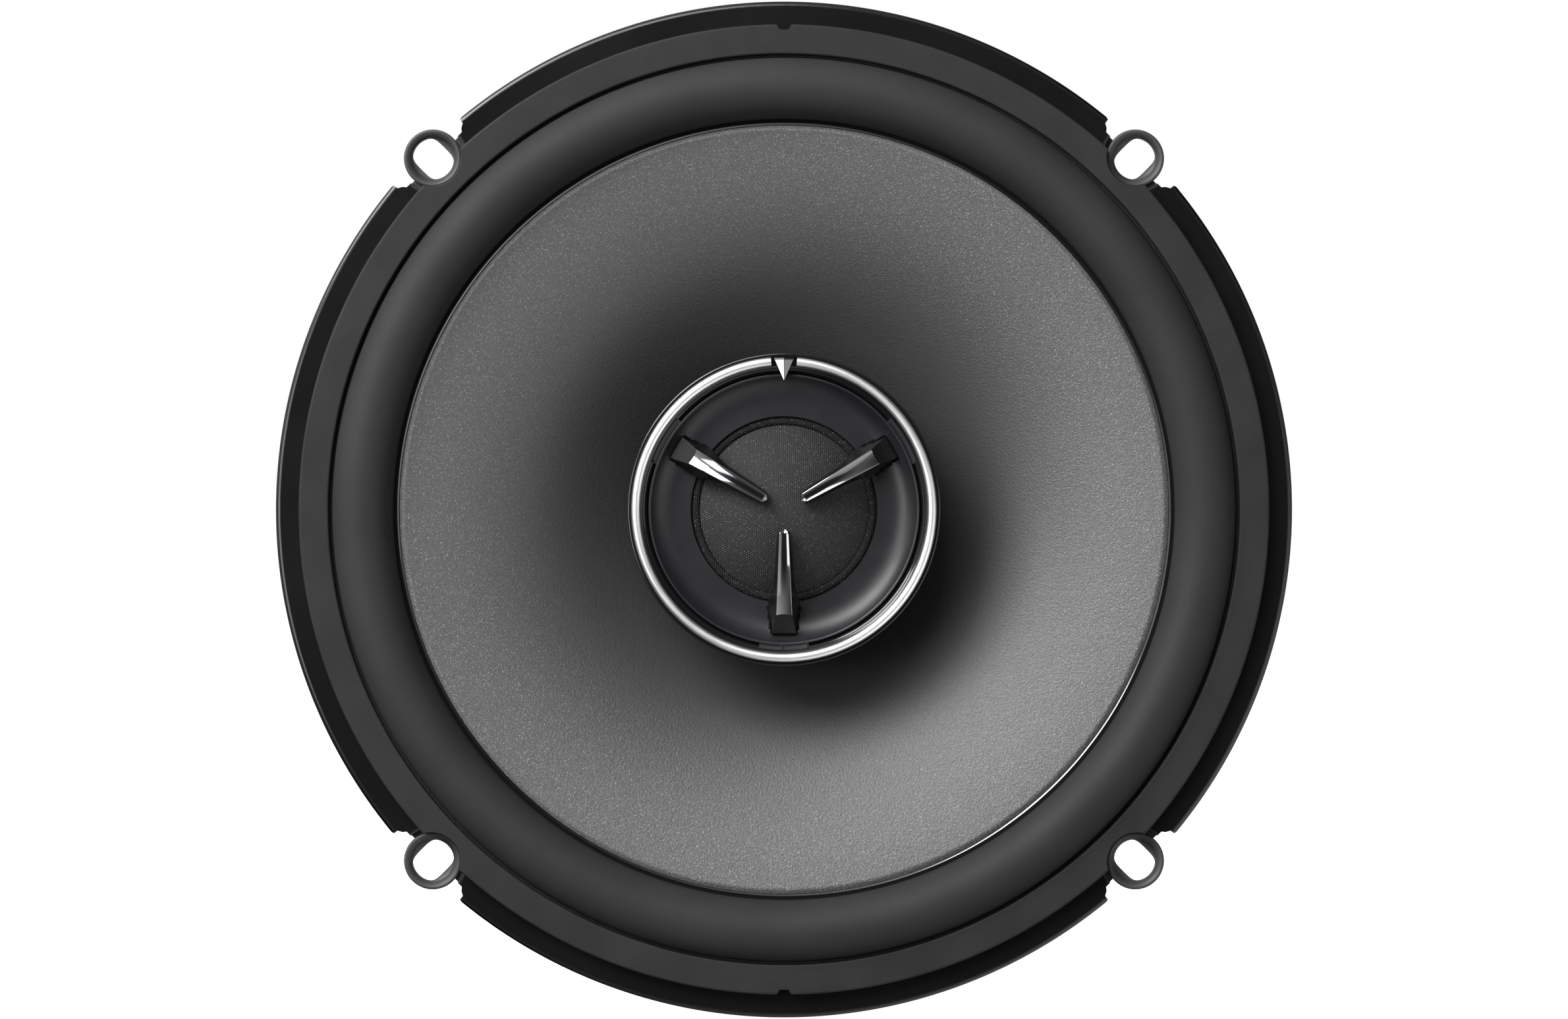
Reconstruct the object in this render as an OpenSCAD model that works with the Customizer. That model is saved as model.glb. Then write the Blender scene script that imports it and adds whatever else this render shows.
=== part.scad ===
// Two-way coaxial car speaker. Each section is drawn round +Z, which points out of the
// front, and is then turned so that the front faces -Y and the top faces +Z.
// Z = 0 is the mounting plane behind the flange.

/* [Mounting] */
// Diameter of the flange over its rolled lip
flange_d = 159.2; // [158.6:0.2:160]
// Side of the square that the four screw holes stand on
hole_square = 110; // [109.6:0.1:110.4]
// Diameter of the counterbore in each ear
ear_bore_d = 6.9; // [6.8:0.05:7]
// Width between the flats of the screw slot under the counterbore
slot_w = 5.0; // [4.8:0.1:5.2]
// Diameter of the barrel that drops into the panel's cut-out
barrel_d = 127; // [126.6:0.1:127.2]
// Depth behind the mounting plane
mount_depth = 57; // [57:0.5:60]

/* [Cone and suspension] */
// Diameter of the cone's face, inside its trim ring
cone_d = 118.8; // [118.4:0.1:119]
// Inner diameter of the surround's half roll
roll_in_d = 122.4; // [122:0.1:122.6]
// Outer diameter of the surround's half roll
roll_out_d = 141.4; // [141:0.1:141.6]
// Half angle of the arc that the cone's section follows, in degrees
cone_flare = 13; // [11:0.5:14]
// Number of corrugations in the spider
spider_waves = 6; // [5:1:7]

/* [Motor] */
// Diameter of the ferrite magnet
magnet_d = 90; // [84:1:90]
// Thickness of the ferrite magnet
magnet_t = 15; // [14:0.5:15]
// Diameter of the pole
pole_d = 28.6; // [28:0.2:28.8]
// Inner diameter of the voice coil former
former_d = 30; // [29.9:0.1:30.1]

/* [Tweeter] */
// Diameter of the tweeter housing
housing_d = 48.8; // [48.6:0.1:49]
// Diameter of the textile dome
dome_d = 26.4; // [26.2:0.1:26.5]
// Height of the textile dome
dome_h = 4.6; // [4.2:0.1:4.7]
// Radius at which the guard blades end, round the open middle
blade_tip_r = 3.1; // [2.6:0.1:4]

/* [Hidden] */
$fn = 96;
sheet_t = 1.2;            // pressed steel of the basket
gap = 0.1;                // adhesive line between glued pieces
window_angles = [0, 90, 180, 270];
ear_angles = [45, 135, 225, 315];
blade_angles = [30, 150, 270];
vent_angles = [for (i = [0:7]) 22.5 + 45 * i];

// Mounting flange
flange_r = flange_d / 2;
flange_h = 2.6;           // front of the raised land
land_r = 70.6;            // inner edge of the raised land
ear_r = 4.5;
ear_h = 2.2;
ear_place = hole_square / sqrt(2);
ear_recess_r = 5.2;
ear_neck_r = 77;          // the rolled lip is cut away past here at an ear
ear_gap = 5.2;            // half angle of that cut
funnel = 0.5;             // depth of the counterbore's funnel mouth
slot_h = 0.45;
slot_end_r = 3.28;
seat_in = 20;             // opening in the plate that carries the motor
cut = 1;                  // how far a cutting solid runs past what it cuts
loose = 0.05;             // clearance round a pin or a stem

// Basket
barrel_r = barrel_d / 2;
barrel_z = -8.6;
ledge_z = -21.6;          // front of the spider ledge
ledge_in = 43;
ledge_out = 51.6;
seat_z = -30;             // front of the plate that carries the motor
window_w = 52;
window_top = -9.6;
window_bottom = -21.3;
vent_w = 9;               // air slots in the spider's cup
vent_h = 3.4;
vent_z = -26.4;
bead_r = 1.8;
bead_top = [61.1, -10.8]; // ends of the bead on a spoke
bead_foot = [53, -20.6];

// Surround, gasket and cone
roll_mid = (roll_in_d + roll_out_d) / 4;
roll_r = (roll_out_d - roll_in_d) / 4;
roll_t = 0.5;
lip_h = 0.5;
roll_z = flange_h + lip_h / 2;
lip_in = 59.9;
lip_out = 72.4;
gasket_in = 71.4;
gasket_out = 75.75;
gasket_top = 4.8;
cone_t = 0.5;
cone_edge = [cone_d / 2, flange_h - gap];
cone_neck = [15.7, -18];
trim_mid = 60.3;
trim_r = 0.72;
trim_z = 3.2;

// Motor
seat_back = seat_z - sheet_t;
plate_t = 5;
plate_r = 40;
voice_gap = 1.95;         // between the pole and the top plate
plate_back = seat_back - plate_t;
former_back = -39;
former_front = -17.2;
coil_front = -28.8;
coil_out = 15.7;
winding_gap = 0.02;
magnet_back = plate_back - magnet_t;
yoke_t = 4;
yoke_r = 42;
yoke_back = magnet_back - yoke_t;
pole_top = -30.7;
former_in = former_d / 2;
former_out = former_in + 0.2;
boot_r = magnet_d / 2 + 2;
boot_front = plate_back - 1.8;
boot_back = -mount_depth;
screw_r = 2;
screw_hole_r = 2.2;
screw_seat = yoke_back + 3.2;
sink_r = 5.2;             // counterbore for the screw's head
rivet_r = 2;
rivet_place = 31;
lead_r = 0.55;
lead_side = 0.62;         // half the spacing of the tweeter leads
lead_x = -9;              // they run beside the post here
lead_hole_r = 1.7;

// Terminals, on the side of the window at 180 degrees
board_back = ledge_z - sheet_t - 2.5;
board_out = -58;
board_in = -46.5;
board_half = 14;
board_rivet = [-49.6, 4];
board_rivet_r = 1.2;
board_rivet_set = 0.3;    // how far its shank runs into its formed head
board_rivet_head = [1.9, 0.7];
blade_x = -56;
blade_t = 0.8;
blade_side = 8;
blade_end = -34.8;
blade_chamfer = 1.2;
stem_half = 1.3;
blade_foot = [4, 2.2];    // length and half width of a blade's foot on the board
detent = [0.8, 3.4];      // radius of the detent hole and its distance from the tip
stem_top = ledge_z + 0.4;
capacitor_angle = 218;
capacitor_r = 5;
capacitor_place = [50, 0, ledge_z - sheet_t - gap - capacitor_r];
capacitor_half = 10;

// Tweeter
housing_r = housing_d / 2;
housing_top = 5.8;
post_top = -10.6;
floor_z = -8.8;           // floor inside the housing
bezel_z = 5.2;
bezel_in = 22.4;
bezel_out = 23.75;
guide_r = 21.1;
throat_r = 14.5;
ledge_top = 3.6;
dome_z = 2.6;             // rim of the dome
dome_rim = dome_d / 2;
yoke_in = 13.6;
yoke_floor = 2.5;
mount_ring_r = 17.6;
motor_top = 0.2;          // front of the tweeter's yoke and pole plate
small_magnet_top = -2.3;
small_former_r = 12.75;
blade_break = 16.6;       // where a blade's top turns down to its foot
blade_top = 9.4;
foot_z = 3.2;
foot_in = 15.1;
foot_out = 19.4;

// ---- helpers ----

// Turns what is drawn round +Z so that its front faces -Y
module front_facing() rotate([90, 0, 0]) children();

// Points on an arc round c from angle a0 to a1, in n steps
function arc(c, r, a0, a1, n) =
    [for (i = [0:n]) let (a = a0 + (a1 - a0) * i / n) c + r * [cos(a), sin(a)]];

// Centre of the arc through p and q that turns through twice the half angle, below the chord
function arc_centre(p, q, half) =
    let (d = p - q, length = norm(d), r = length / 2 / sin(half), u = d / length)
    (p + q) / 2 + r * cos(half) * [u[1], -u[0]];

// Angle of the direction from c to p
function bearing(c, p) = atan2(p[1] - c[1], p[0] - c[0]);

function reversed(list) = [for (i = [len(list) - 1:-1:0]) list[i]];

// Outline of a rectangle with rounded corners, centred on the origin
function round_rect(w, h, r) = concat(
    arc([w / 2 - r, h / 2 - r], r, 0, 90, 4),
    arc([r - w / 2, h / 2 - r], r, 90, 180, 4),
    arc([r - w / 2, r - h / 2], r, 180, 270, 4),
    arc([w / 2 - r, r - h / 2], r, 270, 360, 4));

// Half width of a guard blade at a radius
function blade_half(r) = r < blade_break
    ? 0.65 + 0.6 * (r - blade_tip_r) / (blade_break - blade_tip_r)
    : 1.25 + 0.2 * (r - blade_break);

// Outline of a blade from above between radii, grown by a margin
function blade_plan(radii, margin) = concat(
    [for (r = radii) [r, blade_half(r) + margin]],
    [for (r = reversed(radii)) [r, -blade_half(r) - margin]]);

module turned(section) rotate_extrude() polygon(section);

// A plain ring between two radii and two heights
module ring(r_in, r_out, low, high)
    turned([[r_in, low], [r_out, low], [r_out, high], [r_in, high]]);

module disc(r, low, high) translate([0, 0, low]) cylinder(r = r, h = high - low);

// A block between two corners
module block(low, high) translate(low) cube(high - low);

// Copies at each angle round the axis
module around(angles) for (a = angles) rotate([0, 0, a]) children();

// The direction from p to q
function toward(p, q) = (q - p) / norm(q - p);

// A route whose corners are rounded off over a length of reach on each side
function rounded(p, reach, steps = 4) = concat(
    [p[0]],
    [for (i = [1:len(p) - 2])
        let (a = p[i] + reach * toward(p[i], p[i - 1]),
            b = p[i] + reach * toward(p[i], p[i + 1]))
        for (k = [0:steps])
            let (t = k / steps)
            (1 - t) * (1 - t) * a + 2 * t * (1 - t) * p[i] + t * t * b],
    [p[len(p) - 1]]);

// A wire of radius r through points whose route never runs along the side direction
module wire(points, r, side = [0, 1, 0], sides = 8) {
    n = len(points);
    rings = [for (i = [0:n - 1])
        let (
            t = toward(points[max(i - 1, 0)], points[min(i + 1, n - 1)]),
            across = side - (side * t) * t,
            v = across / norm(across),
            w = cross(t, v)
        )
        for (k = [0:sides - 1])
            let (a = 360 * k / sides)
            points[i] + r * (cos(a) * v + sin(a) * w)];
    walls = [for (i = [0:n - 2], k = [0:sides - 1])
        let (m = (k + 1) % sides)
        [i * sides + k, (i + 1) * sides + k, (i + 1) * sides + m, i * sides + m]];
    ends = [[for (k = [0:sides - 1]) k],
        [for (k = [sides - 1:-1:0]) (n - 1) * sides + k]];
    polyhedron(rings, concat(walls, ends));
}

// ---- basket, gasket and mounting ----

module basket_section() {
    lip = 0.8;
    turned(concat(
        [[flange_r, 0]],
        arc([flange_r - lip, flange_h - lip], lip, 0, 90, 5),
        [
            [land_r, flange_h], [land_r - 1.2, sheet_t], [barrel_r - 0.6, sheet_t],
            [barrel_r - sheet_t, 0.5], [barrel_r - sheet_t, barrel_z + 0.4],
            [ledge_out, ledge_z], [ledge_in, ledge_z],
            [ledge_in - 1.6, seat_z], [seat_in, seat_z], [seat_in, seat_back],
            [ledge_in - 0.4, seat_back], [ledge_in + 1.2, ledge_z - sheet_t],
            [ledge_out + 0.9, ledge_z - sheet_t], [barrel_r, barrel_z],
            [barrel_r, 0], [land_r - 0.7, 0], [land_r + 0.5, flange_h - sheet_t],
            [flange_r - sheet_t, flange_h - sheet_t], [flange_r - sheet_t, 0]
        ]));
}

// A stiffening bead pressed along a spoke, following its slope
module spoke_bead()
    translate([bead_foot[0], 0, bead_foot[1]])
        rotate([0, 90 - bearing(bead_foot, bead_top), 0])
            cylinder(r = bead_r, h = norm(bead_top - bead_foot));

// A radial cut with rounded corners from radius r_in to r_out, centred on height z
module side_cut(r_in, r_out, z, w, h, round)
    translate([r_in, 0, z]) rotate([90, 0, 90])
        linear_extrude(r_out - r_in) polygon(round_rect(w, h, round));

module window_cut()
    side_cut(ledge_in + cut, barrel_r + 4, (window_top + window_bottom) / 2,
        window_w, window_top - window_bottom, 3);

module vent_cut() side_cut(ledge_in - 5, ledge_in + 3, vent_z, vent_w, vent_h, 1.5);

// What the rolled lip loses at an ear: everything past the ear's neck
module ear_clearing()
    rotate([0, 0, -ear_gap]) rotate_extrude(angle = 2 * ear_gap)
        polygon([
            [ear_neck_r, -cut], [flange_r + 4, -cut],
            [flange_r + 4, flange_h + cut], [ear_neck_r, flange_h + cut]
        ]);

// The web that closes the flange's hollow round an ear, and carries the ear
module ear_web()
    intersection() {
        translate([ear_place, 0, 0]) disc(ear_recess_r + 0.9, 0, flange_h - sheet_t / 2);
        ring(land_r, ear_neck_r + cut, -cut, flange_h);
    }

// Counterbore with a funnel mouth, and the slot under them
module ear_hole() {
    bore_r = ear_bore_d / 2;
    over = 0.2;
    disc(bore_r, slot_h, ear_h + cut);
    turned([[0, ear_h - funnel], [bore_r, ear_h - funnel],
        [bore_r + funnel + over, ear_h + over], [0, ear_h + over]]);
    intersection() {
        disc(slot_end_r, -cut, slot_h + 0.1);
        block([-ear_r, -slot_w / 2, -2 * cut], [ear_r, slot_w / 2, 2 * cut]);
    }
}

module basket()
    color([0.09, 0.09, 0.1]) front_facing() difference() {
        union() {
            difference() {
                union() {
                    basket_section();
                    around(ear_angles) {
                        spoke_bead();
                        ear_web();
                    }
                }
                around(ear_angles) {
                    ear_clearing();
                    translate([ear_place, 0, 0]) disc(ear_recess_r, sheet_t, flange_h + cut);
                }
                around(window_angles) window_cut();
                around(vent_angles) vent_cut();
            }
            around(ear_angles) translate([ear_place, 0, 0]) disc(ear_r, 0, ear_h);
        }
        around(ear_angles) translate([ear_place, 0, 0]) ear_hole();
        around(ear_angles) translate([rivet_place, 0, 0])
            disc(rivet_r + loose, seat_back - cut, seat_z + cut);
        for (side = [-1, 1]) translate([board_rivet[0], side * board_rivet[1], 0])
            disc(board_rivet_r + loose, ledge_z - 3, ledge_z + board_rivet_set);
    }

module gasket_notch() {
    deep = 0.85;
    bottom = 0.7;             // half widths of the notch
    mouth = 1.5;
    translate([gasket_out, 0, flange_h - cut]) linear_extrude(4)
        polygon([[-deep, -bottom], [cut, -mouth], [cut, mouth], [-deep, bottom]]);
}

module gasket() {
    bevel = 0.3;
    low = flange_h + lip_h;
    color([0.2, 0.2, 0.21]) front_facing() difference() {
        turned([
            [lip_out + gap, flange_h], [gasket_out, flange_h],
            [gasket_out, gasket_top - bevel], [gasket_out - bevel, gasket_top],
            [gasket_in + bevel, gasket_top], [gasket_in, gasket_top - bevel],
            [gasket_in, low], [lip_out + gap, low]
        ]);
        around(ear_angles) translate([ear_place, 0, 0]) disc(ear_recess_r + gap, 0, 6);
        around([90, 270]) gasket_notch();
    }
}

// ---- cone and suspension ----

module surround() {
    c = [roll_mid, roll_z];
    out_r = roll_r;
    in_r = roll_r - roll_t;
    out_a = asin(lip_h / 2 / out_r);
    in_a = asin(lip_h / 2 / in_r);
    color([0.15, 0.15, 0.16]) front_facing() turned(concat(
        [[lip_out, roll_z - lip_h / 2], [lip_out, roll_z + lip_h / 2]],
        arc(c, out_r, out_a, 180 - out_a, 16),
        [[lip_in, roll_z + lip_h / 2], [lip_in, roll_z - lip_h / 2]],
        arc(c, in_r, 180 + in_a, -in_a, 16)));
}

module cone() {
    c = arc_centre(cone_edge, cone_neck, cone_flare);
    r = norm(cone_edge - c);
    a0 = bearing(c, cone_edge);
    a1 = bearing(c, cone_neck);
    bore = former_out + gap / 2;
    neck = cone_neck[1];      // the collar that is glued to the former
    color([0.42, 0.42, 0.44]) front_facing() turned(concat(
        [[roll_in_d / 2, cone_edge[1]]],
        arc(c, r, a0, a1, 22),
        [[bore, neck + 0.3], [bore, neck - 1], [bore + 0.7, neck - 1]],
        arc(c, r - cone_t, a1, a0, 22),
        [[roll_in_d / 2, cone_edge[1] - cone_t]]));
}

module cone_trim_ring()
    color([0.05, 0.05, 0.06]) front_facing() turned(concat(
        arc([trim_mid, trim_z], trim_r, 0, 180, 8),
        [[trim_mid - trim_r, cone_edge[1]], [lip_in - 0.13, cone_edge[1]],
            [lip_in - 0.13, trim_z]]));

module voice_coil_former()
    color([0.75, 0.72, 0.6]) front_facing()
        ring(former_in, former_out, former_back, former_front);

module voice_coil()
    color([0.72, 0.4, 0.2]) front_facing()
        ring(former_out + winding_gap, coil_out, former_back + 0.4, coil_front);

// Corrugated disc between the former and the ledge
module spider() {
    r0 = 17;                  // the corrugations run from here
    r1 = 43;                  // to here
    outer = 47.5;
    high = 0.9;
    thick = 0.4;
    collar = 0.6;             // height and thickness of the cuff on the former
    mid = ledge_z + thick / 2;
    steps = 8 * spider_waves;
    wave = [for (i = [0:steps]) let (s = i / steps)
        [r0 + (r1 - r0) * s, mid + high * sin(360 * spider_waves * s)]];
    half = [0, thick / 2];
    color([0.75, 0.6, 0.35]) front_facing() turned(concat(
        [[former_out + gap, ledge_z], [former_out + gap, mid + collar],
            [former_out + collar, mid + collar], [former_out + 0.8, mid + thick / 2]],
        [for (p = wave) p + half],
        [[outer, mid + thick / 2], [outer, ledge_z]],
        [for (p = reversed(wave)) p - half]));
}

// Lead from a terminal's stem to the former, inside the basket
module tinsel_lead(side)
    color([0.75, 0.6, 0.35]) front_facing() mirror([0, side < 0 ? 1 : 0, 0])
        wire(rounded([
            [blade_x, 8, stem_top], [blade_x, 8, -18.6], [-50, 7.6, -17.4],
            [-36, 7, -15.4], [-24, 6.2, -17.2], [-18.5, 5.6, -19.9], [-15.1, 5.5, -19.9]
        ], 2), 0.5);

module tinsel_lead_positive() tinsel_lead(1);
module tinsel_lead_negative() tinsel_lead(-1);

// ---- motor ----

module top_plate()
    color([0.6, 0.6, 0.62]) front_facing() difference() {
        ring(pole_d / 2 + voice_gap, plate_r, plate_back, seat_back);
        around(ear_angles) translate([rivet_place, 0, 0])
            disc(rivet_r + loose, plate_back - cut, seat_back + cut);
    }

module magnet() {
    r = magnet_d / 2;
    bore = 22;
    bevel = 1;
    color([0.18, 0.18, 0.19]) front_facing() turned([
        [bore, magnet_back], [r - bevel, magnet_back], [r, magnet_back + bevel],
        [r, plate_back - bevel], [r - bevel, plate_back], [bore, plate_back]
    ]);
}

module pole_yoke()
    color([0.6, 0.6, 0.62]) front_facing() difference() {
        union() {
            disc(yoke_r, yoke_back, magnet_back);
            disc(pole_d / 2, magnet_back - 0.5, pole_top);
        }
        disc(screw_hole_r, yoke_back - cut, pole_top + cut);
        disc(sink_r, yoke_back - cut, screw_seat);
        translate([lead_x, 0, 0]) disc(lead_hole_r, yoke_back - cut, pole_top + cut);
    }

// Rubber cap over the magnet and the yoke, with a channel for the tweeter leads
module magnet_boot() {
    round = 3;
    opening = 12;
    in_r = magnet_d / 2 + gap;
    low = yoke_back - gap / 2;
    channel = 1.4;            // depth of the channel in the back
    color([0.1, 0.1, 0.1]) front_facing() difference() {
        turned(concat(
            [[opening, low], [opening, boot_back]],
            arc([boot_r - round, boot_back + round], round, 270, 360, 6),
            [[boot_r, boot_front - 0.4], [boot_r - 0.4, boot_front], [in_r, boot_front],
                [in_r, magnet_back - gap], [yoke_r + 0.15, magnet_back - gap],
                [yoke_r + 0.15, low]]));
        rotate([90, 0, 0]) linear_extrude(2.6, center = true) polygon([
            [-boot_r - cut, boot_front + cut], [-in_r - 0.5, boot_front + cut],
            [-in_r - 0.5, boot_back + channel + 2.2], [-in_r + 1.7, boot_back + channel],
            [cut - opening, boot_back + channel], [cut - opening, boot_back - cut],
            [-boot_r - cut, boot_back - cut]
        ]);
    }
}

module motor_rivets() {
    head_r = 3.4;
    head_h = 1.2;
    color([0.5, 0.5, 0.52]) front_facing() around(ear_angles)
        translate([rivet_place, 0, 0]) {
            disc(rivet_r, plate_back, seat_z + head_h / 2);
            disc(head_r, seat_z, seat_z + head_h);
        }
}

// ---- terminals and tweeter supply ----

module terminal_board()
    color([0.12, 0.12, 0.12]) front_facing() difference() {
        block([board_out, -board_half, board_back],
            [board_in, board_half, ledge_z - sheet_t]);
        for (side = [-1, 1]) {
            translate([board_rivet[0], side * board_rivet[1], 0])
                disc(board_rivet_r + loose, board_back - cut, ledge_z);
            translate([blade_x, side * blade_side, 0])
                block([-blade_t / 2 - loose, -stem_half - loose, board_back - cut],
                    [blade_t / 2 + loose, stem_half + loose, ledge_z]);
        }
    }

// Blade of a given width with its foot on the board and its stem through it
module terminal(width, side)
    color([0.8, 0.65, 0.3]) front_facing()
        translate([blade_x, side * blade_side, 0]) difference() {
            union() {
                translate([-blade_t / 2, 0, 0]) rotate([90, 0, 90]) linear_extrude(blade_t)
                    polygon([
                        [-width / 2, board_back], [-width / 2, blade_end + blade_chamfer],
                        [blade_chamfer - width / 2, blade_end],
                        [width / 2 - blade_chamfer, blade_end],
                        [width / 2, blade_end + blade_chamfer], [width / 2, board_back],
                        [stem_half, board_back], [stem_half, stem_top],
                        [-stem_half, stem_top], [-stem_half, board_back]
                    ]);
                block([0, -blade_foot[1], board_back - blade_t],
                    [blade_foot[0], blade_foot[1], board_back]);
            }
            translate([-2 * cut, 0, blade_end + detent[1]]) rotate([0, 90, 0])
                cylinder(r = detent[0], h = 4 * cut);
        }

module terminal_positive() terminal(6.3, 1);
module terminal_negative() terminal(4.8, -1);

module terminal_rivets()
    color([0.7, 0.7, 0.7]) front_facing() for (side = [-1, 1])
        translate([board_rivet[0], side * board_rivet[1], 0]) {
            disc(board_rivet_r, board_back, ledge_z + board_rivet_set);
            disc(board_rivet_head[0], ledge_z, ledge_z + board_rivet_head[1]);
            disc(board_rivet_head[0], board_back - board_rivet_head[1], board_back);
        }

module crossover_capacitor()
    color([0.15, 0.17, 0.3]) front_facing() around([capacitor_angle]) {
        p = capacitor_place;
        end = capacitor_half;
        lead = 0.4;
        tag_z = board_back + 1.3; // height at which the leads meet the board's edge
        translate(p) rotate([90, 0, 0])
            cylinder(r = capacitor_r, h = 2 * end, center = true);
        wire(rounded([p - [0, end, 0], p - [0, end + 3, 0], [49.6, -21, tag_z]], 1.2),
            lead, [0, 0, 1]);
        wire(rounded([
            p + [0, end, 0], p + [0, end + 2.5, 0], p + [6.2, end + 2.5, 0],
            p + [6.2, -end - 2, 0], [52.75, -23.4, tag_z]
        ], 1.2), lead, [0, 0, 1]);
    }

// Pair of wires from the board, round the boot in its channel and up beside the post
module tweeter_leads() {
    side_x = -boot_r + 0.7;
    rear_z = boot_back + 0.7;
    color([0.1, 0.1, 0.1]) front_facing() for (side = [-1, 1])
        wire(rounded([
            for (p = [
                [-51.5, board_back], [-51.5, board_back - 3], [side_x, boot_front + 1],
                [side_x, rear_z], [lead_x, rear_z], [lead_x, floor_z - 0.6]
            ]) [p[0], side * lead_side, p[1]]
        ], 1.6), lead_r);
}

// ---- tweeter ----

module tweeter_post() {
    flange = 12;
    thick = 2;
    stalk = 6.5;
    color([0.08, 0.08, 0.08]) front_facing() difference() {
        union() {
            disc(flange, pole_top, pole_top + thick);
            disc(stalk, pole_top + thick / 2, post_top - thick / 2);
            disc(flange, post_top - thick, post_top);
        }
        disc(screw_hole_r, pole_top - cut, post_top + cut);
        translate([lead_x, 0, 0]) disc(lead_hole_r, pole_top - cut, post_top + cut);
    }
}

// Pan-head screw with a cross recess
module post_screw() {
    head_r = 4.2;
    head_h = 2.8;
    cross = [2.4, 0.5, 1.4];  // half length, half width, and what is left under it
    color([0.65, 0.65, 0.66]) front_facing() difference() {
        union() {
            disc(screw_r, screw_seat - 1, floor_z + 2.2);
            disc(head_r, screw_seat - head_h, screw_seat);
        }
        for (a = [0, 90]) rotate([0, 0, a])
            block([-cross[0], -cross[1], screw_seat - head_h - cut],
                [cross[0], cross[1], screw_seat - cross[2]]);
    }
}

module tweeter_housing() {
    lip = 0.5;
    top = housing_top;
    color([0.05, 0.05, 0.055]) front_facing() difference() {
        turned(concat(
            [[17.5, post_top], [housing_r, -3]],
            arc([housing_r - lip, top - lip], lip, 0, 90, 4),
            [
                [bezel_out + loose, top], [bezel_out + loose, bezel_z],
                [bezel_in, bezel_z], [bezel_in, ledge_top], [20.6, ledge_top],
                [20.6, ledge_top - 1.2], [22, ledge_top - 1.2], [22, -2.2],
                [16.2, floor_z], [screw_hole_r, floor_z], [screw_hole_r, post_top]
            ]));
        translate([lead_x, 0, 0]) disc(lead_hole_r, post_top - cut, floor_z + cut / 2);
    }
}

module tweeter_yoke()
    color([0.6, 0.6, 0.62]) front_facing() difference() {
        disc(yoke_in + 2, floor_z, motor_top);
        disc(yoke_in, floor_z + yoke_floor, motor_top + cut);
        disc(screw_r + 0.03, floor_z - cut, floor_z + yoke_floor + cut);
    }

module tweeter_magnet()
    color([0.7, 0.7, 0.72]) front_facing() disc(11.4, floor_z + yoke_floor, small_magnet_top);

module tweeter_pole_plate()
    color([0.6, 0.6, 0.62]) front_facing() disc(12, small_magnet_top, motor_top);

module tweeter_mount_ring()
    color([0.1, 0.1, 0.1]) front_facing() ring(13.9, mount_ring_r, motor_top, dome_z - 0.3);

// Spherical cap of woven cloth
module tweeter_dome() {
    r = (dome_rim * dome_rim + dome_h * dome_h) / 2 / dome_h;
    thick = 0.25;
    color([0.12, 0.12, 0.12]) front_facing() difference() {
        translate([0, 0, dome_z + dome_h - r]) sphere(r);
        translate([0, 0, dome_z + dome_h - r]) sphere(r - thick);
        block([-r - 1, -r - 1, dome_z - 2 * r], [r + 1, r + 1, dome_z]);
    }
}

// Small roll between the dome's rim and its mounting ring
module tweeter_surround() {
    mid = [(dome_rim + throat_r) / 2, dome_z - 0.05];
    r = (throat_r - dome_rim) / 2 - gap / 2;
    thick = 0.2;
    color([0.1, 0.1, 0.1]) front_facing() turned(concat(
        [[mount_ring_r, mid[1] - thick - loose], [mount_ring_r, mid[1]]],
        arc(mid, r, 0, 180, 8),
        arc(mid, r - thick, 180, 0, 8),
        [[mid[0] + r - thick, mid[1] - thick - loose]]));
}

module tweeter_coil_former()
    color([0.75, 0.72, 0.6]) front_facing() ring(12.6, small_former_r, -3.3, dome_z - 0.1);

module tweeter_coil()
    color([0.72, 0.4, 0.2]) front_facing() ring(small_former_r + winding_gap, 13.05, -2.2, 0.1);

// Dished ring round the dome, held by three tabs
module waveguide() {
    inset = 20.4;             // the foot that sits on the mounting ring
    tab_r = 22.3;
    tab_top = 4.9;
    tab_half = 10.5;          // half angle of a tab
    rim = [guide_r - 0.25, 6.2];
    throat = [throat_r, dome_z + 0.4];
    c = arc_centre(rim, throat, -18);
    low = dome_z - 0.05;
    color([0.1, 0.1, 0.105]) front_facing() difference() {
        union() {
            turned(concat(
                [[throat_r, low], [inset, low], [inset, ledge_top], [guide_r, ledge_top],
                    [guide_r, rim[1] - 0.25]],
                arc(c, norm(rim - c), bearing(c, rim), bearing(c, throat), 10)));
            around(blade_angles) rotate([0, 0, -tab_half]) rotate_extrude(angle = 2 * tab_half)
                polygon([[guide_r - 0.5, ledge_top], [tab_r, ledge_top], [tab_r, tab_top],
                    [guide_r - 0.5, tab_top]]);
        }
        around(blade_angles) translate([0, 0, foot_z]) linear_extrude(5)
            polygon(blade_plan([foot_in - loose, blade_break, foot_out + loose], loose));
        rotate([0, 0, 90]) block([19.9, -2, bezel_z], [22, 2, 8]);
    }
}

module guard_blades()
    color([0.3, 0.3, 0.32]) front_facing() around(blade_angles) intersection() {
        rotate([90, 0, 0]) linear_extrude(6, center = true) polygon([
            [foot_out, foot_z], [foot_out, 4.9], [blade_break, blade_top],
            [blade_tip_r, 8.8], [blade_tip_r, 7.6], [13.6, 7], [foot_in, 4.6],
            [foot_in, foot_z]
        ]);
        linear_extrude(12) polygon(blade_plan([blade_tip_r, blade_break, foot_out], 0));
    }

module bezel_ring() {
    mid = (bezel_in + bezel_out) / 2;
    half = (bezel_out - bezel_in) / 2;
    color([0.85, 0.85, 0.87]) front_facing() rotate([0, 0, 95])
        rotate_extrude(angle = 350) polygon(concat(
            [[bezel_in, bezel_z], [bezel_out, bezel_z]],
            arc([mid, bezel_z + 0.75], half, 0, 180, 8)));
}

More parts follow.
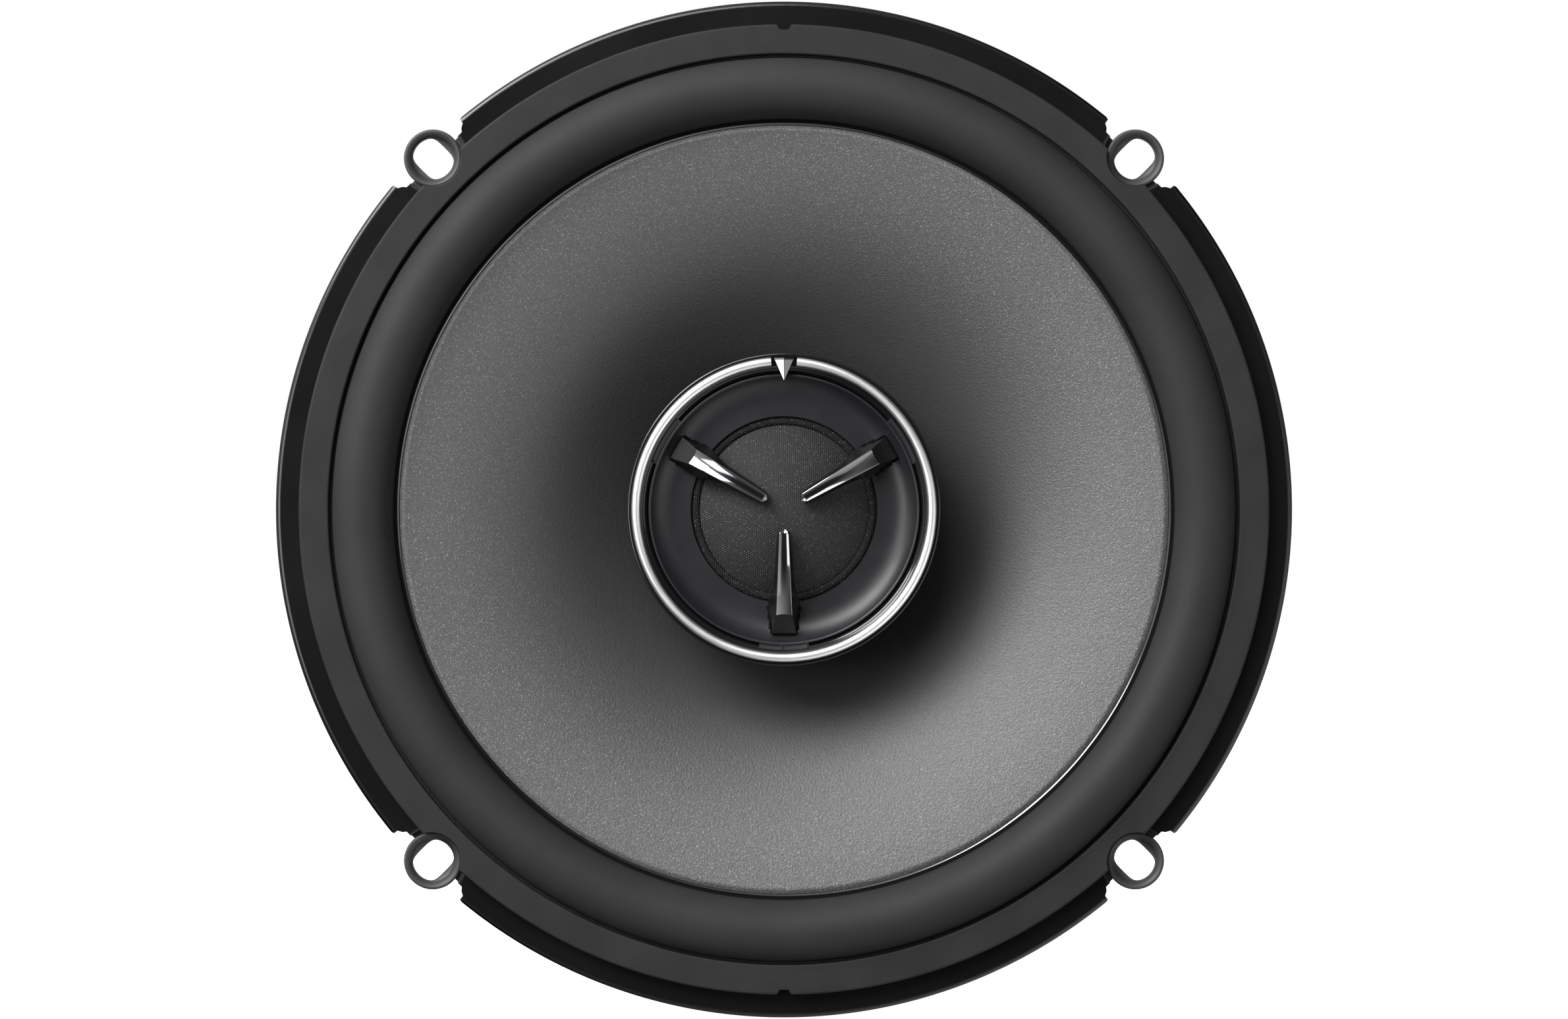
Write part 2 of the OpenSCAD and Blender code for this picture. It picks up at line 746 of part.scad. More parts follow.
// Small faceted mark that fills the gap in the bezel at the top
module index_wedge()
    color([0.8, 0.8, 0.82]) front_facing() rotate([0, 0, 90]) intersection() {
        linear_extrude(10) polygon([[20.1, 0], [23.6, -1.75], [23.6, 1.75]]);
        rotate([90, 0, 0]) linear_extrude(6, center = true) polygon([
            [20, bezel_z], [23.7, bezel_z], [23.7, 6.6], [22.8, 7], [20, 5.6]]);
        rotate([90, 0, 90]) linear_extrude(30) polygon([
            [-1.9, bezel_z], [1.9, bezel_z], [1.9, 5.7], [0, 7.1], [-1.9, 5.7]]);
    }

basket();
gasket();
surround();
cone();
cone_trim_ring();
voice_coil_former();
voice_coil();
spider();
top_plate();
magnet();
pole_yoke();
magnet_boot();
motor_rivets();
terminal_board();
terminal_positive();
terminal_negative();
terminal_rivets();
tinsel_lead_positive();
tinsel_lead_negative();
crossover_capacitor();
tweeter_leads();
tweeter_post();
post_screw();
tweeter_housing();
tweeter_yoke();
tweeter_magnet();
tweeter_pole_plate();
tweeter_mount_ring();
tweeter_dome();
tweeter_surround();
tweeter_coil_former();
tweeter_coil();
waveguide();
guard_blades();
bezel_ring();
index_wedge();
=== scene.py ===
# Looks for the coaxial car speaker: visual pieces, materials, studio and camera.
import functools
import math

import bmesh
import bpy
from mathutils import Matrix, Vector

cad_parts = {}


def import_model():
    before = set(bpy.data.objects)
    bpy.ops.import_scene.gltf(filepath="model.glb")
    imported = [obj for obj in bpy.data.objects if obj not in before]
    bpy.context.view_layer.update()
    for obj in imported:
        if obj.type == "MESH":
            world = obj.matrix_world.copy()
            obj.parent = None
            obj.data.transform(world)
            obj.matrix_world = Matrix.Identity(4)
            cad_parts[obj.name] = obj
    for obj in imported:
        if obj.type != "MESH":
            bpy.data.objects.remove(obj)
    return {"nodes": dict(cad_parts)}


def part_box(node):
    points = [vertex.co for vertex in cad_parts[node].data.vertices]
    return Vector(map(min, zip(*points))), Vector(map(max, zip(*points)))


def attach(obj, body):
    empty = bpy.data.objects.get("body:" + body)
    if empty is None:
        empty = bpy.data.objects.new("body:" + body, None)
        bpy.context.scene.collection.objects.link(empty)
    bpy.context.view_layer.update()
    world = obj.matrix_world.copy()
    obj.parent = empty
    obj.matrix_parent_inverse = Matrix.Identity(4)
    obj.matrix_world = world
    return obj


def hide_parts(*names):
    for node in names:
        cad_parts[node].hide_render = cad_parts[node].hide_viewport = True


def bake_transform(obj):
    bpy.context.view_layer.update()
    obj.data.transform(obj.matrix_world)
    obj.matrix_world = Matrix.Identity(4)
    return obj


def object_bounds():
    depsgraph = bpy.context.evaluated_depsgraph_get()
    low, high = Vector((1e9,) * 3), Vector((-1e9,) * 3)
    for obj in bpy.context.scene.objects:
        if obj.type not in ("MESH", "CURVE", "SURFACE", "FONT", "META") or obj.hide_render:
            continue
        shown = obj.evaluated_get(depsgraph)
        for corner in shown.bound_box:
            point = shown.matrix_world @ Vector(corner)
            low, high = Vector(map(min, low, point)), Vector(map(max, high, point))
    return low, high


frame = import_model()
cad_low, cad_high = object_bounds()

MM = 0.001
nodes = frame["nodes"]


# ---- sizes ----
# In millimetres, round the axis that points out of the front, as in the CAD model.
# Heights count from the mounting plane towards the front.

def span(node):
    """A CAD node's reach along X, its lowest height and its highest height."""
    low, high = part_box(node)
    return high.x / MM, -high.y / MM, -low.y / MM


FLANGE_R = -cad_low.z / MM
FLANGE_H = 2.6
LAND_IN = 70.6
SHEET = 1.2
BARREL_R = 63.5
BEAD_R = 1.8
BEAD_TOP, BEAD_FOOT = Vector((61.1, -10.8)), Vector((53.0, -20.6))
BARREL_BACK = -8.6
LEDGE_Z = -21.6
LEDGE_IN, LEDGE_OUT = 43.0, 51.6
SEAT_Z = -30.0
EAR_ANGLES = (45, 135, 225, 315)
EAR_PLACE = 110 / math.sqrt(2)
EAR_R, EAR_H = 4.52, 2.3
EAR_NECK_R = 77.0
RECESS_R = 5.2
CUTOUT_R = 4.57
BLADE_ANGLES = (30, 150, 270)

GASKET_R, _, GASKET_TOP = span("gasket")
GASKET_IN = 71.05
SURROUND_R, _, ROLL_TOP = span("surround")
ROLL_IN, ROLL_OUT = 61.2, 70.7
CONE_R = span("cone")[0]
CONE_EDGE = (59.85, 2.5)
CONE_NECK = (15.7, -18.0)
JOINT_Z = CONE_EDGE[1] + 0.02
TRIM_R = 61.1
HOUSING_R, HOUSING_BACK, HOUSING_TOP = span("tweeter_housing")
BEZEL_R, BEZEL_Z, BEZEL_TOP = span("bezel_ring")
BEZEL_IN = 22.4
DOME_R, DOME_Z, DOME_TOP = span("tweeter_dome")
DOME_ROLL_IN = 13.2
GUIDE_R, GUIDE_LEDGE, THROAT_R = 21.1, 3.9, 14.5
TAB_R = 22.3
BLADE_TIP, BLADE_BREAK, BLADE_FOOT = 3.1, 16.4, 19.4
BLADE_TOP = 9.3
SPIDER_R = span("spider")[0]


# ---- sections and meshes ----

def place(x, y, z):
    """From the axis frame in millimetres to the row frame, whose front faces -Y."""
    return Vector((x * MM, -z * MM, y * MM))


def corner(before, point, after, radius, steps):
    """Points of an arc that rounds off a corner, with its ends on the two edges."""
    p, a, b = Vector(point), Vector(before), Vector(after)
    u, v = (a - p).normalized(), (b - p).normalized()
    half = u.angle(v) / 2
    if half > math.radians(89) or radius <= 0:
        return [tuple(p)]
    reach = min(radius / math.tan(half), 0.49 * (a - p).length, 0.49 * (b - p).length)
    start, end = p + u * reach, p + v * reach
    times = [i / steps for i in range(steps + 1)]
    return [tuple((1 - t) ** 2 * start + 2 * t * (1 - t) * p + t * t * end) for t in times]


def softened(section, steps=4):
    """A closed section whose points may carry a third value, the size of their round."""
    made = []
    for i, point in enumerate(section):
        if len(point) == 2:
            made.append(point)
            continue
        made += corner(section[i - 1][:2], point[:2], section[(i + 1) % len(section)][:2],
                       point[2], steps)
    return made


def arc(centre, radius, start, end, steps):
    """Points on an arc, angles in degrees."""
    angles = [math.radians(start + (end - start) * i / steps) for i in range(steps + 1)]
    return [(centre[0] + radius * math.cos(a), centre[1] + radius * math.sin(a)) for a in angles]


def arc_through(p, q, half, steps):
    """Points from p to q on an arc that turns through twice the half angle."""
    p, q = Vector(p), Vector(q)
    d = p - q
    r = d.length / 2 / math.sin(math.radians(half))
    u = d.normalized()
    c = (p + q) / 2 + r * math.cos(math.radians(half)) * Vector((u.y, -u.x))
    a0 = math.degrees(math.atan2(p.y - c.y, p.x - c.x))
    a1 = math.degrees(math.atan2(q.y - c.y, q.x - c.x))
    return arc(c, (p - c).length, a0, a1, steps)


def shifted(section, by):
    """A section moved along its own normal, on the right of its direction."""
    made = []
    for i, p in enumerate(section):
        before = Vector(section[max(i - 1, 0)])
        after = Vector(section[min(i + 1, len(section) - 1)])
        d = (after - before).normalized()
        made.append((p[0] + by * d.y, p[1] - by * d.x))
    return made


def here(x, y, z):
    return x, y, z


def turned(angle, at=0.0):
    """A map that turns points round the axis, after moving them out along X."""
    c, s = math.cos(math.radians(angle)), math.sin(math.radians(angle))
    return lambda x, y, z: (c * (x + at) - s * y, s * (x + at) + c * y, z)


def add_lathe(bm, section, steps, to=here, start=0.0, sweep=360.0):
    """A section swept round an axis, and closed at its ends if it isn't a full ring."""
    full = sweep >= 360
    rows = steps if full else steps + 1
    poles = {k: bm.verts.new(place(*to(0, 0, z))) for k, (r, z) in enumerate(section) if r == 0}
    rings = []
    for i in range(rows):
        a = math.radians(start + sweep * i / steps)
        c, s = math.cos(a), math.sin(a)
        rings.append([poles.get(k) or bm.verts.new(place(*to(r * c, r * s, z)))
                      for k, (r, z) in enumerate(section)])
    n = len(section)
    for i in range(steps):
        near, far = rings[i], rings[(i + 1) % rows]
        for k in range(n):
            m = (k + 1) % n
            if k in poles and m in poles:
                continue
            loop = dict.fromkeys((near[k], near[m], far[m], far[k]))
            bm.faces.new(tuple(loop))
    if not full:
        bm.faces.new(rings[0][::-1])
        bm.faces.new(rings[-1])


def add_prism(bm, outline, low, high, to=here):
    """A prism of an outline between two heights, through a map to the axis frame."""
    rows = [[bm.verts.new(place(*to(u, v, w))) for u, v in outline] for w in (low, high)]
    bm.faces.new(rows[0][::-1])
    bm.faces.new(rows[1])
    n = len(outline)
    for k in range(n):
        m = (k + 1) % n
        bm.faces.new((rows[0][k], rows[0][m], rows[1][m], rows[1][k]))


def round_rect(w, h, r, steps=6):
    return softened([(-w / 2, -h / 2, r), (w / 2, -h / 2, r), (w / 2, h / 2, r),
                     (-w / 2, h / 2, r)], steps)


def finished(name, bm, sharp=34):
    """The mesh being built as an object, shaded smooth apart from its sharp edges."""
    bmesh.ops.recalc_face_normals(bm, faces=bm.faces)
    mesh = bpy.data.meshes.new(name)
    bm.to_mesh(mesh)
    bm.free()
    return shaded(name, mesh, sharp)


def shaded(name, mesh, sharp=34):
    """A mesh as an object, smooth apart from the edges that turn further than an angle."""
    mesh.shade_smooth()
    mesh.set_sharp_from_angle(angle=math.radians(sharp))
    piece = bpy.data.objects.new(name, mesh)
    bpy.context.scene.collection.objects.link(piece)
    piece.modifiers.new("even_shading", "WEIGHTED_NORMAL").keep_sharp = True
    return piece


def lathe(name, section, steps=300, start=0.0, sweep=360.0, sharp=34):
    bm = bmesh.new()
    add_lathe(bm, section, steps, here, start, sweep)
    return finished(name, bm, sharp)


def combined(piece, tool, operation="DIFFERENCE", sharp=34):
    """A piece cut by or joined to a tool, which is used up."""
    name = piece.name
    piece.modifiers.clear()
    change = piece.modifiers.new("change", "BOOLEAN")
    change.operation, change.solver, change.object = operation, "EXACT", tool
    bpy.context.view_layer.update()
    mesh = bpy.data.meshes.new_from_object(
        piece.evaluated_get(bpy.context.evaluated_depsgraph_get()))
    bm = bmesh.new()
    bm.from_mesh(mesh)
    bmesh.ops.remove_doubles(bm, verts=bm.verts, dist=1e-6)
    bmesh.ops.dissolve_degenerate(bm, edges=bm.edges, dist=1e-6)
    bm.to_mesh(mesh)
    bm.free()
    bpy.data.objects.remove(piece)
    bpy.data.objects.remove(tool)
    mesh.name = name
    return shaded(name, mesh, sharp)


# ---- materials ----

def feed(tree, socket, value):
    """A link into a socket, or a value set on it."""
    if isinstance(value, bpy.types.NodeSocket):
        tree.links.new(value, socket)
    else:
        socket.default_value = value


def add_node(tree, kind, inputs=None, **settings):
    """A node of a tree, with its settings made first and its inputs then fed."""
    made = tree.nodes.new(kind)
    for key, value in settings.items():
        setattr(made, key, value)
    for key, value in (inputs or {}).items():
        feed(tree, made.inputs[key], value)
    return made


def add_ramp(tree, fac, stops):
    """A colour ramp of (position, colour) stops, where a colour may be one grey value."""
    made = add_node(tree, "ShaderNodeValToRGB", {"Fac": fac})
    points = made.color_ramp.elements
    while len(points) < len(stops):
        points.new(0.5)
    for point, (position, colour) in zip(points, stops):
        point.position = position
        colour = (colour,) * 3 if isinstance(colour, (int, float)) else colour
        point.color = (*colour, 1)
    return made.outputs["Color"]


class Nodes:
    """A material's node tree, with short calls for the nodes that this scene uses."""

    def __init__(self, name, colour, roughness, metallic=0.0, **shader):
        self.material = bpy.data.materials.new(name)
        self.material.use_nodes = True
        self.tree = self.material.node_tree
        self.shader = self.tree.nodes["Principled BSDF"]
        self.set("Base Color", (*colour, 1))
        self.set("Roughness", roughness)
        self.set("Metallic", metallic)
        for key, value in shader.items():
            self.set(key.replace("_", " "), value)

    def set(self, socket, value):
        self.shader.inputs[socket].default_value = value

    def node(self, kind, inputs=None, **settings):
        return add_node(self.tree, kind, inputs, **settings)

    def place_mm(self, stretch=(1, 1, 1)):
        """Object coordinates in millimetres, stretched along each axis."""
        where = self.node("ShaderNodeTexCoord").outputs["Object"]
        scale = tuple(s / MM for s in stretch)
        return self.node("ShaderNodeMapping", {"Vector": where, "Scale": scale}).outputs["Vector"]

    def noise(self, scale, detail=2.0, where=None, roughness=0.5):
        """Noise of so many blobs a millimetre, from 0 to 1."""
        return self.node("ShaderNodeTexNoise", {
            "Vector": where or self.place_mm(), "Scale": scale, "Detail": detail,
            "Roughness": roughness}).outputs["Fac"]

    def ramp(self, fac, *stops):
        return add_ramp(self.tree, fac, stops)

    def bump(self, height, distance, strength=1.0, under=None):
        """Bump of a given depth in millimetres, over an earlier bump."""
        inputs = {"Height": height, "Distance": distance * MM, "Strength": strength}
        if under:
            inputs["Normal"] = under
        return self.node("ShaderNodeBump", inputs).outputs["Normal"]

    def math(self, operation, *values):
        return self.node("ShaderNodeMath", dict(enumerate(values)),
                         operation=operation).outputs["Value"]

    def length(self, *values):
        return self.math("SQRT", self.math("ADD", *(self.math("POWER", v, 2.0) for v in values)))

    def parts(self, vector):
        return self.node("ShaderNodeSeparateXYZ", {"Vector": vector}).outputs

    def smoothstep(self, value, low, high):
        return self.node("ShaderNodeMapRange", {"Value": value, "From Min": low, "From Max": high},
                         interpolation_type="SMOOTHSTEP").outputs["Result"]

    def mix(self, fac, a, b):
        return self.node("ShaderNodeMix", {"Factor": fac, "A": a, "B": b},
                         data_type="RGBA").outputs["Result"]

    def link(self, socket, value):
        feed(self.tree, self.shader.inputs[socket], value)


def wear(m, base, spread, scale=0.05):
    """Slow variation of a roughness about its base value."""
    m.link("Roughness", m.ramp(m.noise(scale, 3), (0.3, base - spread), (0.7, base + spread)))


def gloss_paint():
    """Black powder coat: glossy with faint orange peel, and greyer satin on the screw ears."""
    m = Nodes("gloss_paint", (0.0065, 0.0065, 0.007), 0.2, Specular_IOR_Level=0.5)
    where = m.parts(m.place_mm())
    square = EAR_PLACE / math.sqrt(2)
    reach = m.length(*[m.math("SUBTRACT", m.math("ABSOLUTE", where[axis]), square)
                       for axis in "XZ"])
    ear = m.math("SUBTRACT", 1.0, m.math("SMOOTH_MIN", m.math(
        "MAXIMUM", m.math("SUBTRACT", reach, EAR_R + 0.2), 0.0), 1.0, 0.1))
    m.link("Base Color", m.mix(ear, (0.0065, 0.0065, 0.007, 1), (0.05, 0.05, 0.051, 1)))
    m.link("Normal", m.bump(m.noise(0.9, 2), 0.012))
    m.link("Roughness", m.ramp(m.math("ADD", m.math("MULTIPLY", m.noise(0.05, 3), 0.2), ear),
                               (0.05, 0.17), (0.15, 0.24), (0.9, 0.5)))
    return m.material


def gasket_rubber():
    """Matte moulded rubber with fine grain and a little dust."""
    m = Nodes("gasket_rubber", (0.026, 0.026, 0.027), 0.62, Specular_IOR_Level=0.25)
    grain = m.noise(7, 3)
    m.link("Base Color", m.ramp(m.noise(0.12, 4), (0.35, (0.022, 0.022, 0.023)),
                                (0.65, (0.029, 0.029, 0.030))))
    m.link("Normal", m.bump(grain, 0.03))
    wear(m, 0.62, 0.06)
    return m.material


def surround_rubber():
    """Butyl rubber of the half roll: satin, a little lighter in slow patches."""
    m = Nodes("surround_rubber", (0.035, 0.035, 0.036), 0.62, Specular_IOR_Level=0.2)
    m.link("Base Color", m.ramp(m.noise(0.08, 4), (0.35, (0.033, 0.033, 0.034)),
                                (0.65, (0.038, 0.038, 0.039))))
    m.link("Normal", m.bump(m.noise(9, 2), 0.012))
    wear(m, 0.62, 0.05)
    return m.material


def cone_polymer():
    """Mica-filled moulded cone: pebbled grain with fine bright flecks, and painted shade that
    darkens it towards the neck.
    """
    m = Nodes("cone_polymer", (0.12, 0.12, 0.123), 0.46, Specular_IOR_Level=0.85)
    where = m.place_mm()
    parts = m.parts(where)
    radius = m.length(parts["X"], parts["Z"])
    # out runs from 0 at the neck to 1 beyond 55 mm: how far the cone is clear of the painted shade
    out = m.smoothstep(radius, 30.5, 55.0)
    pebble = m.noise(3, 3, where, 0.6)
    fleck = m.node("ShaderNodeTexVoronoi", {"Vector": where, "Scale": 1.9, "Randomness": 1.0})
    near = m.math("LESS_THAN", fleck.outputs["Distance"], 0.1)
    chosen = m.math("GREATER_THAN", m.node("ShaderNodeSeparateColor", {
        "Color": fleck.outputs["Color"]}).outputs["Red"], 0.72)
    flecks = m.math("MULTIPLY", m.math("MULTIPLY", near, chosen), out)
    base = m.ramp(m.noise(6, 2, where), (0.3, (0.07, 0.07, 0.072)), (0.58, (0.115, 0.115, 0.117)),
                  (0.74, (0.4, 0.4, 0.405)))
    # painted shade: the colour fades to near black towards the neck, standing for the shadow and
    # occlusion round the tweeter
    base = m.mix(out, (0.018, 0.018, 0.0185, 1), base)
    m.link("Base Color", m.mix(flecks, base, (0.75, 0.75, 0.76, 1)))
    m.link("Normal", m.bump(pebble, 0.1))
    polish = m.smoothstep(radius, 30.0, 43.0)
    m.link("Roughness", m.mix(polish, (0.74, 0.74, 0.74, 1),
                              m.ramp(pebble, (0.3, 0.42), (0.7, 0.54))))
    return m.material


def gloss_plastic(name="gloss_plastic", colour=(0.008, 0.008, 0.009), roughness=0.12, index=1.5):
    """Moulded gloss black plastic, or a lacquer of a higher refractive index."""
    m = Nodes(name, colour, roughness, IOR=index)
    m.link("Normal", m.bump(m.noise(0.5, 2), 0.006))
    wear(m, roughness, 0.03, 0.1)
    return m.material


def waveguide_satin():
    """Satin moulded plastic with a very fine spark-eroded grain."""
    m = Nodes("waveguide_satin", (0.015, 0.015, 0.0175), 0.37, Specular_IOR_Level=0.45)
    m.link("Normal", m.bump(m.noise(5, 3), 0.012))
    wear(m, 0.37, 0.03, 0.2)
    return m.material


def dome_cloth(name="dome_cloth", gloss=0.5):
    """Coated silk: slanted rows of knots, some of which carry a bright fleck of coating."""
    m = Nodes(name, (0.02, 0.02, 0.021), 0.55, Specular_IOR_Level=gloss)
    pitch = 0.34
    where = m.node("ShaderNodeVectorRotate", {"Vector": m.place_mm((1 / pitch,) * 3),
                                              "Angle": math.radians(28)},
                   rotation_type="Y_AXIS").outputs["Vector"]
    parts = m.parts(where)
    across, row = parts["X"], m.math("FLOOR", parts["Z"])
    across = m.math("MULTIPLY_ADD", row, 0.5, across)
    threads = [m.math("MULTIPLY_ADD", m.math("COSINE", m.math("MULTIPLY", value, 2 * math.pi)),
                      -0.5, 0.5) for value in (across, parts["Z"])]
    knots = m.math("MULTIPLY", *threads)
    cell = m.node("ShaderNodeCombineXYZ", {"X": m.math("FLOOR", across), "Z": row})
    chance = m.node("ShaderNodeTexWhiteNoise", {"Vector": cell.outputs["Vector"]},
                    noise_dimensions="3D").outputs["Value"]
    fleck = m.math("MULTIPLY", m.math("GREATER_THAN", chance, 0.9),
                   m.ramp(knots, (0.5, 0.0), (0.9, 1.0)))
    shade = m.ramp(m.math("MULTIPLY", knots, m.math("MULTIPLY_ADD", chance, 0.6, 0.4)),
                   (0.05, (0.011, 0.011, 0.0115)), (0.9, (0.07, 0.07, 0.071)))
    m.link("Base Color", m.mix(fleck, shade, (0.2, 0.2, 0.205, 1)))
    m.link("Normal", m.bump(knots, 0.07))
    m.link("Roughness", m.ramp(m.math("MULTIPLY", knots, m.math("MULTIPLY_ADD", chance, 0.7, 0.5)),
                               (0.25, 0.75), (0.9, 0.36)))
    return m.material


def chrome(name="bright_chrome", colour=(0.92, 0.92, 0.93), roughness=0.42):
    """Plated and polished metal with faint waves."""
    m = Nodes(name, colour, roughness, 1.0)
    m.link("Normal", m.bump(m.noise(0.7, 2), 0.004))
    wear(m, roughness, 0.03, 0.3)
    return m.material


def plated_steel(name="plated_steel", colour=(0.5, 0.5, 0.5), roughness=0.32):
    """Zinc-plated steel with faint turning marks and mottling."""
    m = Nodes(name, colour, roughness, 1.0)
    mottle = m.noise(0.25, 4)
    m.link("Base Color", m.ramp(mottle, (0.3, tuple(0.82 * c for c in colour)), (0.7, colour)))
    m.link("Roughness", m.ramp(mottle, (0.3, roughness + 0.1), (0.7, roughness - 0.05)))
    m.link("Normal", m.bump(m.noise(3, 3), 0.01))
    return m.material


def ferrite():
    m = Nodes("ferrite", (0.035, 0.035, 0.037), 0.55)
    m.link("Base Color", m.ramp(m.noise(0.8, 5), (0.3, (0.022, 0.022, 0.024)),
                                (0.7, (0.05, 0.05, 0.052))))
    m.link("Normal", m.bump(m.noise(2.5, 4), 0.05))
    return m.material


def boot_rubber():
    m = Nodes("boot_rubber", (0.014, 0.014, 0.015), 0.5, Sheen_Weight=0.1, Sheen_Roughness=0.5)
    m.link("Normal", m.bump(m.noise(5, 3), 0.03))
    wear(m, 0.5, 0.08)
    return m.material


def matte_plastic(name="matte_plastic", colour=(0.02, 0.02, 0.021)):
    m = Nodes(name, colour, 0.55)
    m.link("Normal", m.bump(m.noise(6, 3), 0.02))
    wear(m, 0.55, 0.06)
    return m.material


def spider_cloth():
    """Woven cotton stiffened with resin."""
    m = Nodes("spider_cloth", (0.42, 0.26, 0.09), 0.7)
    parts, pitch = m.parts(m.place_mm()), 0.7
    threads = [m.math("SINE", m.math("MULTIPLY", parts[axis], 2 * math.pi / pitch))
               for axis in "XZ"]
    weave = m.math("MULTIPLY_ADD", m.math("MULTIPLY", *threads), 0.5, 0.5)
    m.link("Base Color", m.ramp(weave, (0.1, (0.26, 0.15, 0.05)), (0.9, (0.5, 0.32, 0.12))))
    m.link("Normal", m.bump(weave, 0.08))
    return m.material


def wound_copper():
    """Turns of enamelled wire."""
    m = Nodes("wound_copper", (0.72, 0.3, 0.13), 0.25, 1.0, Coat_Weight=0.6)
    wire = m.node("ShaderNodeTexWave", {"Vector": m.place_mm(), "Scale": 1.2},
                  bands_direction="Y").outputs["Fac"]
    m.link("Normal", m.bump(wire, 0.06))
    m.link("Base Color", m.ramp(wire, (0.0, (0.3, 0.1, 0.04)), (0.5, (0.75, 0.32, 0.14))))
    return m.material


def braided_copper():
    """Tinsel lead: fine copper braid."""
    m = Nodes("braided_copper", (0.6, 0.34, 0.16), 0.35, 0.9)
    braid = m.node("ShaderNodeTexWave", {"Vector": m.place_mm(), "Scale": 1.6, "Distortion": 1.5},
                   bands_direction="DIAGONAL").outputs["Fac"]
    m.link("Normal", m.bump(braid, 0.08))
    m.link("Base Color", m.ramp(braid, (0.2, (0.3, 0.15, 0.07)), (0.8, (0.7, 0.42, 0.2))))
    return m.material


def sleeve_blue():
    m = Nodes("capacitor_sleeve", (0.012, 0.022, 0.07), 0.25)
    m.link("Normal", m.bump(m.noise(1.2, 2), 0.02))
    wear(m, 0.25, 0.05, 0.2)
    return m.material


def wire_sleeve():
    m = Nodes("wire_sleeve", (0.012, 0.012, 0.012), 0.4)
    m.link("Normal", m.bump(m.noise(4, 2), 0.02))
    wear(m, 0.4, 0.08, 0.3)
    return m.material


MATERIALS = {
    "basket": gloss_paint(),
    "gasket": gasket_rubber(),
    "surround": surround_rubber(),
    "cone": cone_polymer(),
    "gloss": gloss_plastic(),
    "trim": gloss_plastic("trim_gloss", (0.008, 0.008, 0.009), 0.1, 1.9),
    "waveguide": waveguide_satin(),
    "dome": dome_cloth(),
    "dome_edge": dome_cloth("dome_edge_cloth", 0.1),
    "chrome": chrome(),
    "black_chrome": chrome("black_chrome", (0.22, 0.22, 0.23), 0.1),
    "blade_body": gloss_plastic("blade_black", (0.008, 0.008, 0.0085), 0.3, 1.3),
    "plated": plated_steel(),
    "fastener": plated_steel("fastener_steel", (0.6, 0.6, 0.58), 0.28),
    "tinned": plated_steel("tinned_brass", (0.72, 0.66, 0.5), 0.3),
    "former": plated_steel("former_aluminium", (0.75, 0.75, 0.74), 0.3),
    "ferrite": ferrite(),
    "boot": boot_rubber(),
    "board": matte_plastic("board_phenolic", (0.022, 0.017, 0.013)),
    "inner": matte_plastic("inner_plastic"),
    "spider": spider_cloth(),
    "copper": wound_copper(),
    "tinsel": braided_copper(),
    "sleeve": sleeve_blue(),
    "wire": wire_sleeve(),
    "resin": matte_plastic("end_resin", (0.03, 0.028, 0.026)),
    "tinned_wire": plated_steel("tinned_copper_wire", (0.7, 0.68, 0.64), 0.25),
    "post": gloss_plastic("post_black", (0.012, 0.012, 0.013), 0.3),
}

CAD_FINISH = {
    "basket": "basket", "gasket": "gasket", "surround": "surround", "cone": "cone",
    "cone_trim_ring": "trim", "voice_coil_former": "former", "voice_coil": "copper",
    "spider": "spider", "top_plate": "plated", "magnet": "ferrite", "pole_yoke": "plated",
    "magnet_boot": "boot", "motor_rivets": "fastener", "terminal_board": "board",
    "terminal_positive": "tinned", "terminal_negative": "tinned",
    "terminal_rivets": "fastener", "tinsel_lead_positive": "tinsel",
    "tinsel_lead_negative": "tinsel", "crossover_capacitor": "sleeve",
    "tweeter_leads": "wire", "tweeter_post": "post", "post_screw": "fastener",
    "tweeter_housing": "gloss", "tweeter_yoke": "plated", "tweeter_magnet": "chrome",
    "tweeter_pole_plate": "plated", "tweeter_mount_ring": "inner", "tweeter_dome": "dome",
    "tweeter_surround": "dome", "tweeter_coil_former": "former", "tweeter_coil": "copper",
    "waveguide": "waveguide", "guard_blades": "black_chrome", "bezel_ring": "chrome",
    "index_wedge": "chrome",
}


def paint(piece, finish):
    piece.data.materials.clear()
    piece.data.materials.append(MATERIALS[finish])


for node, finish in CAD_FINISH.items():
    paint(nodes[node], finish)


# ---- pieces that stand for CAD nodes ----

def stands_for(piece, body, finish, slot, *replaced):
    """A painted piece on one body, with the CAD nodes that it replaces hidden; the slot is not
    used.
    """
    paint(piece, finish)
    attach(piece, body)
    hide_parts(*replaced)
    return piece


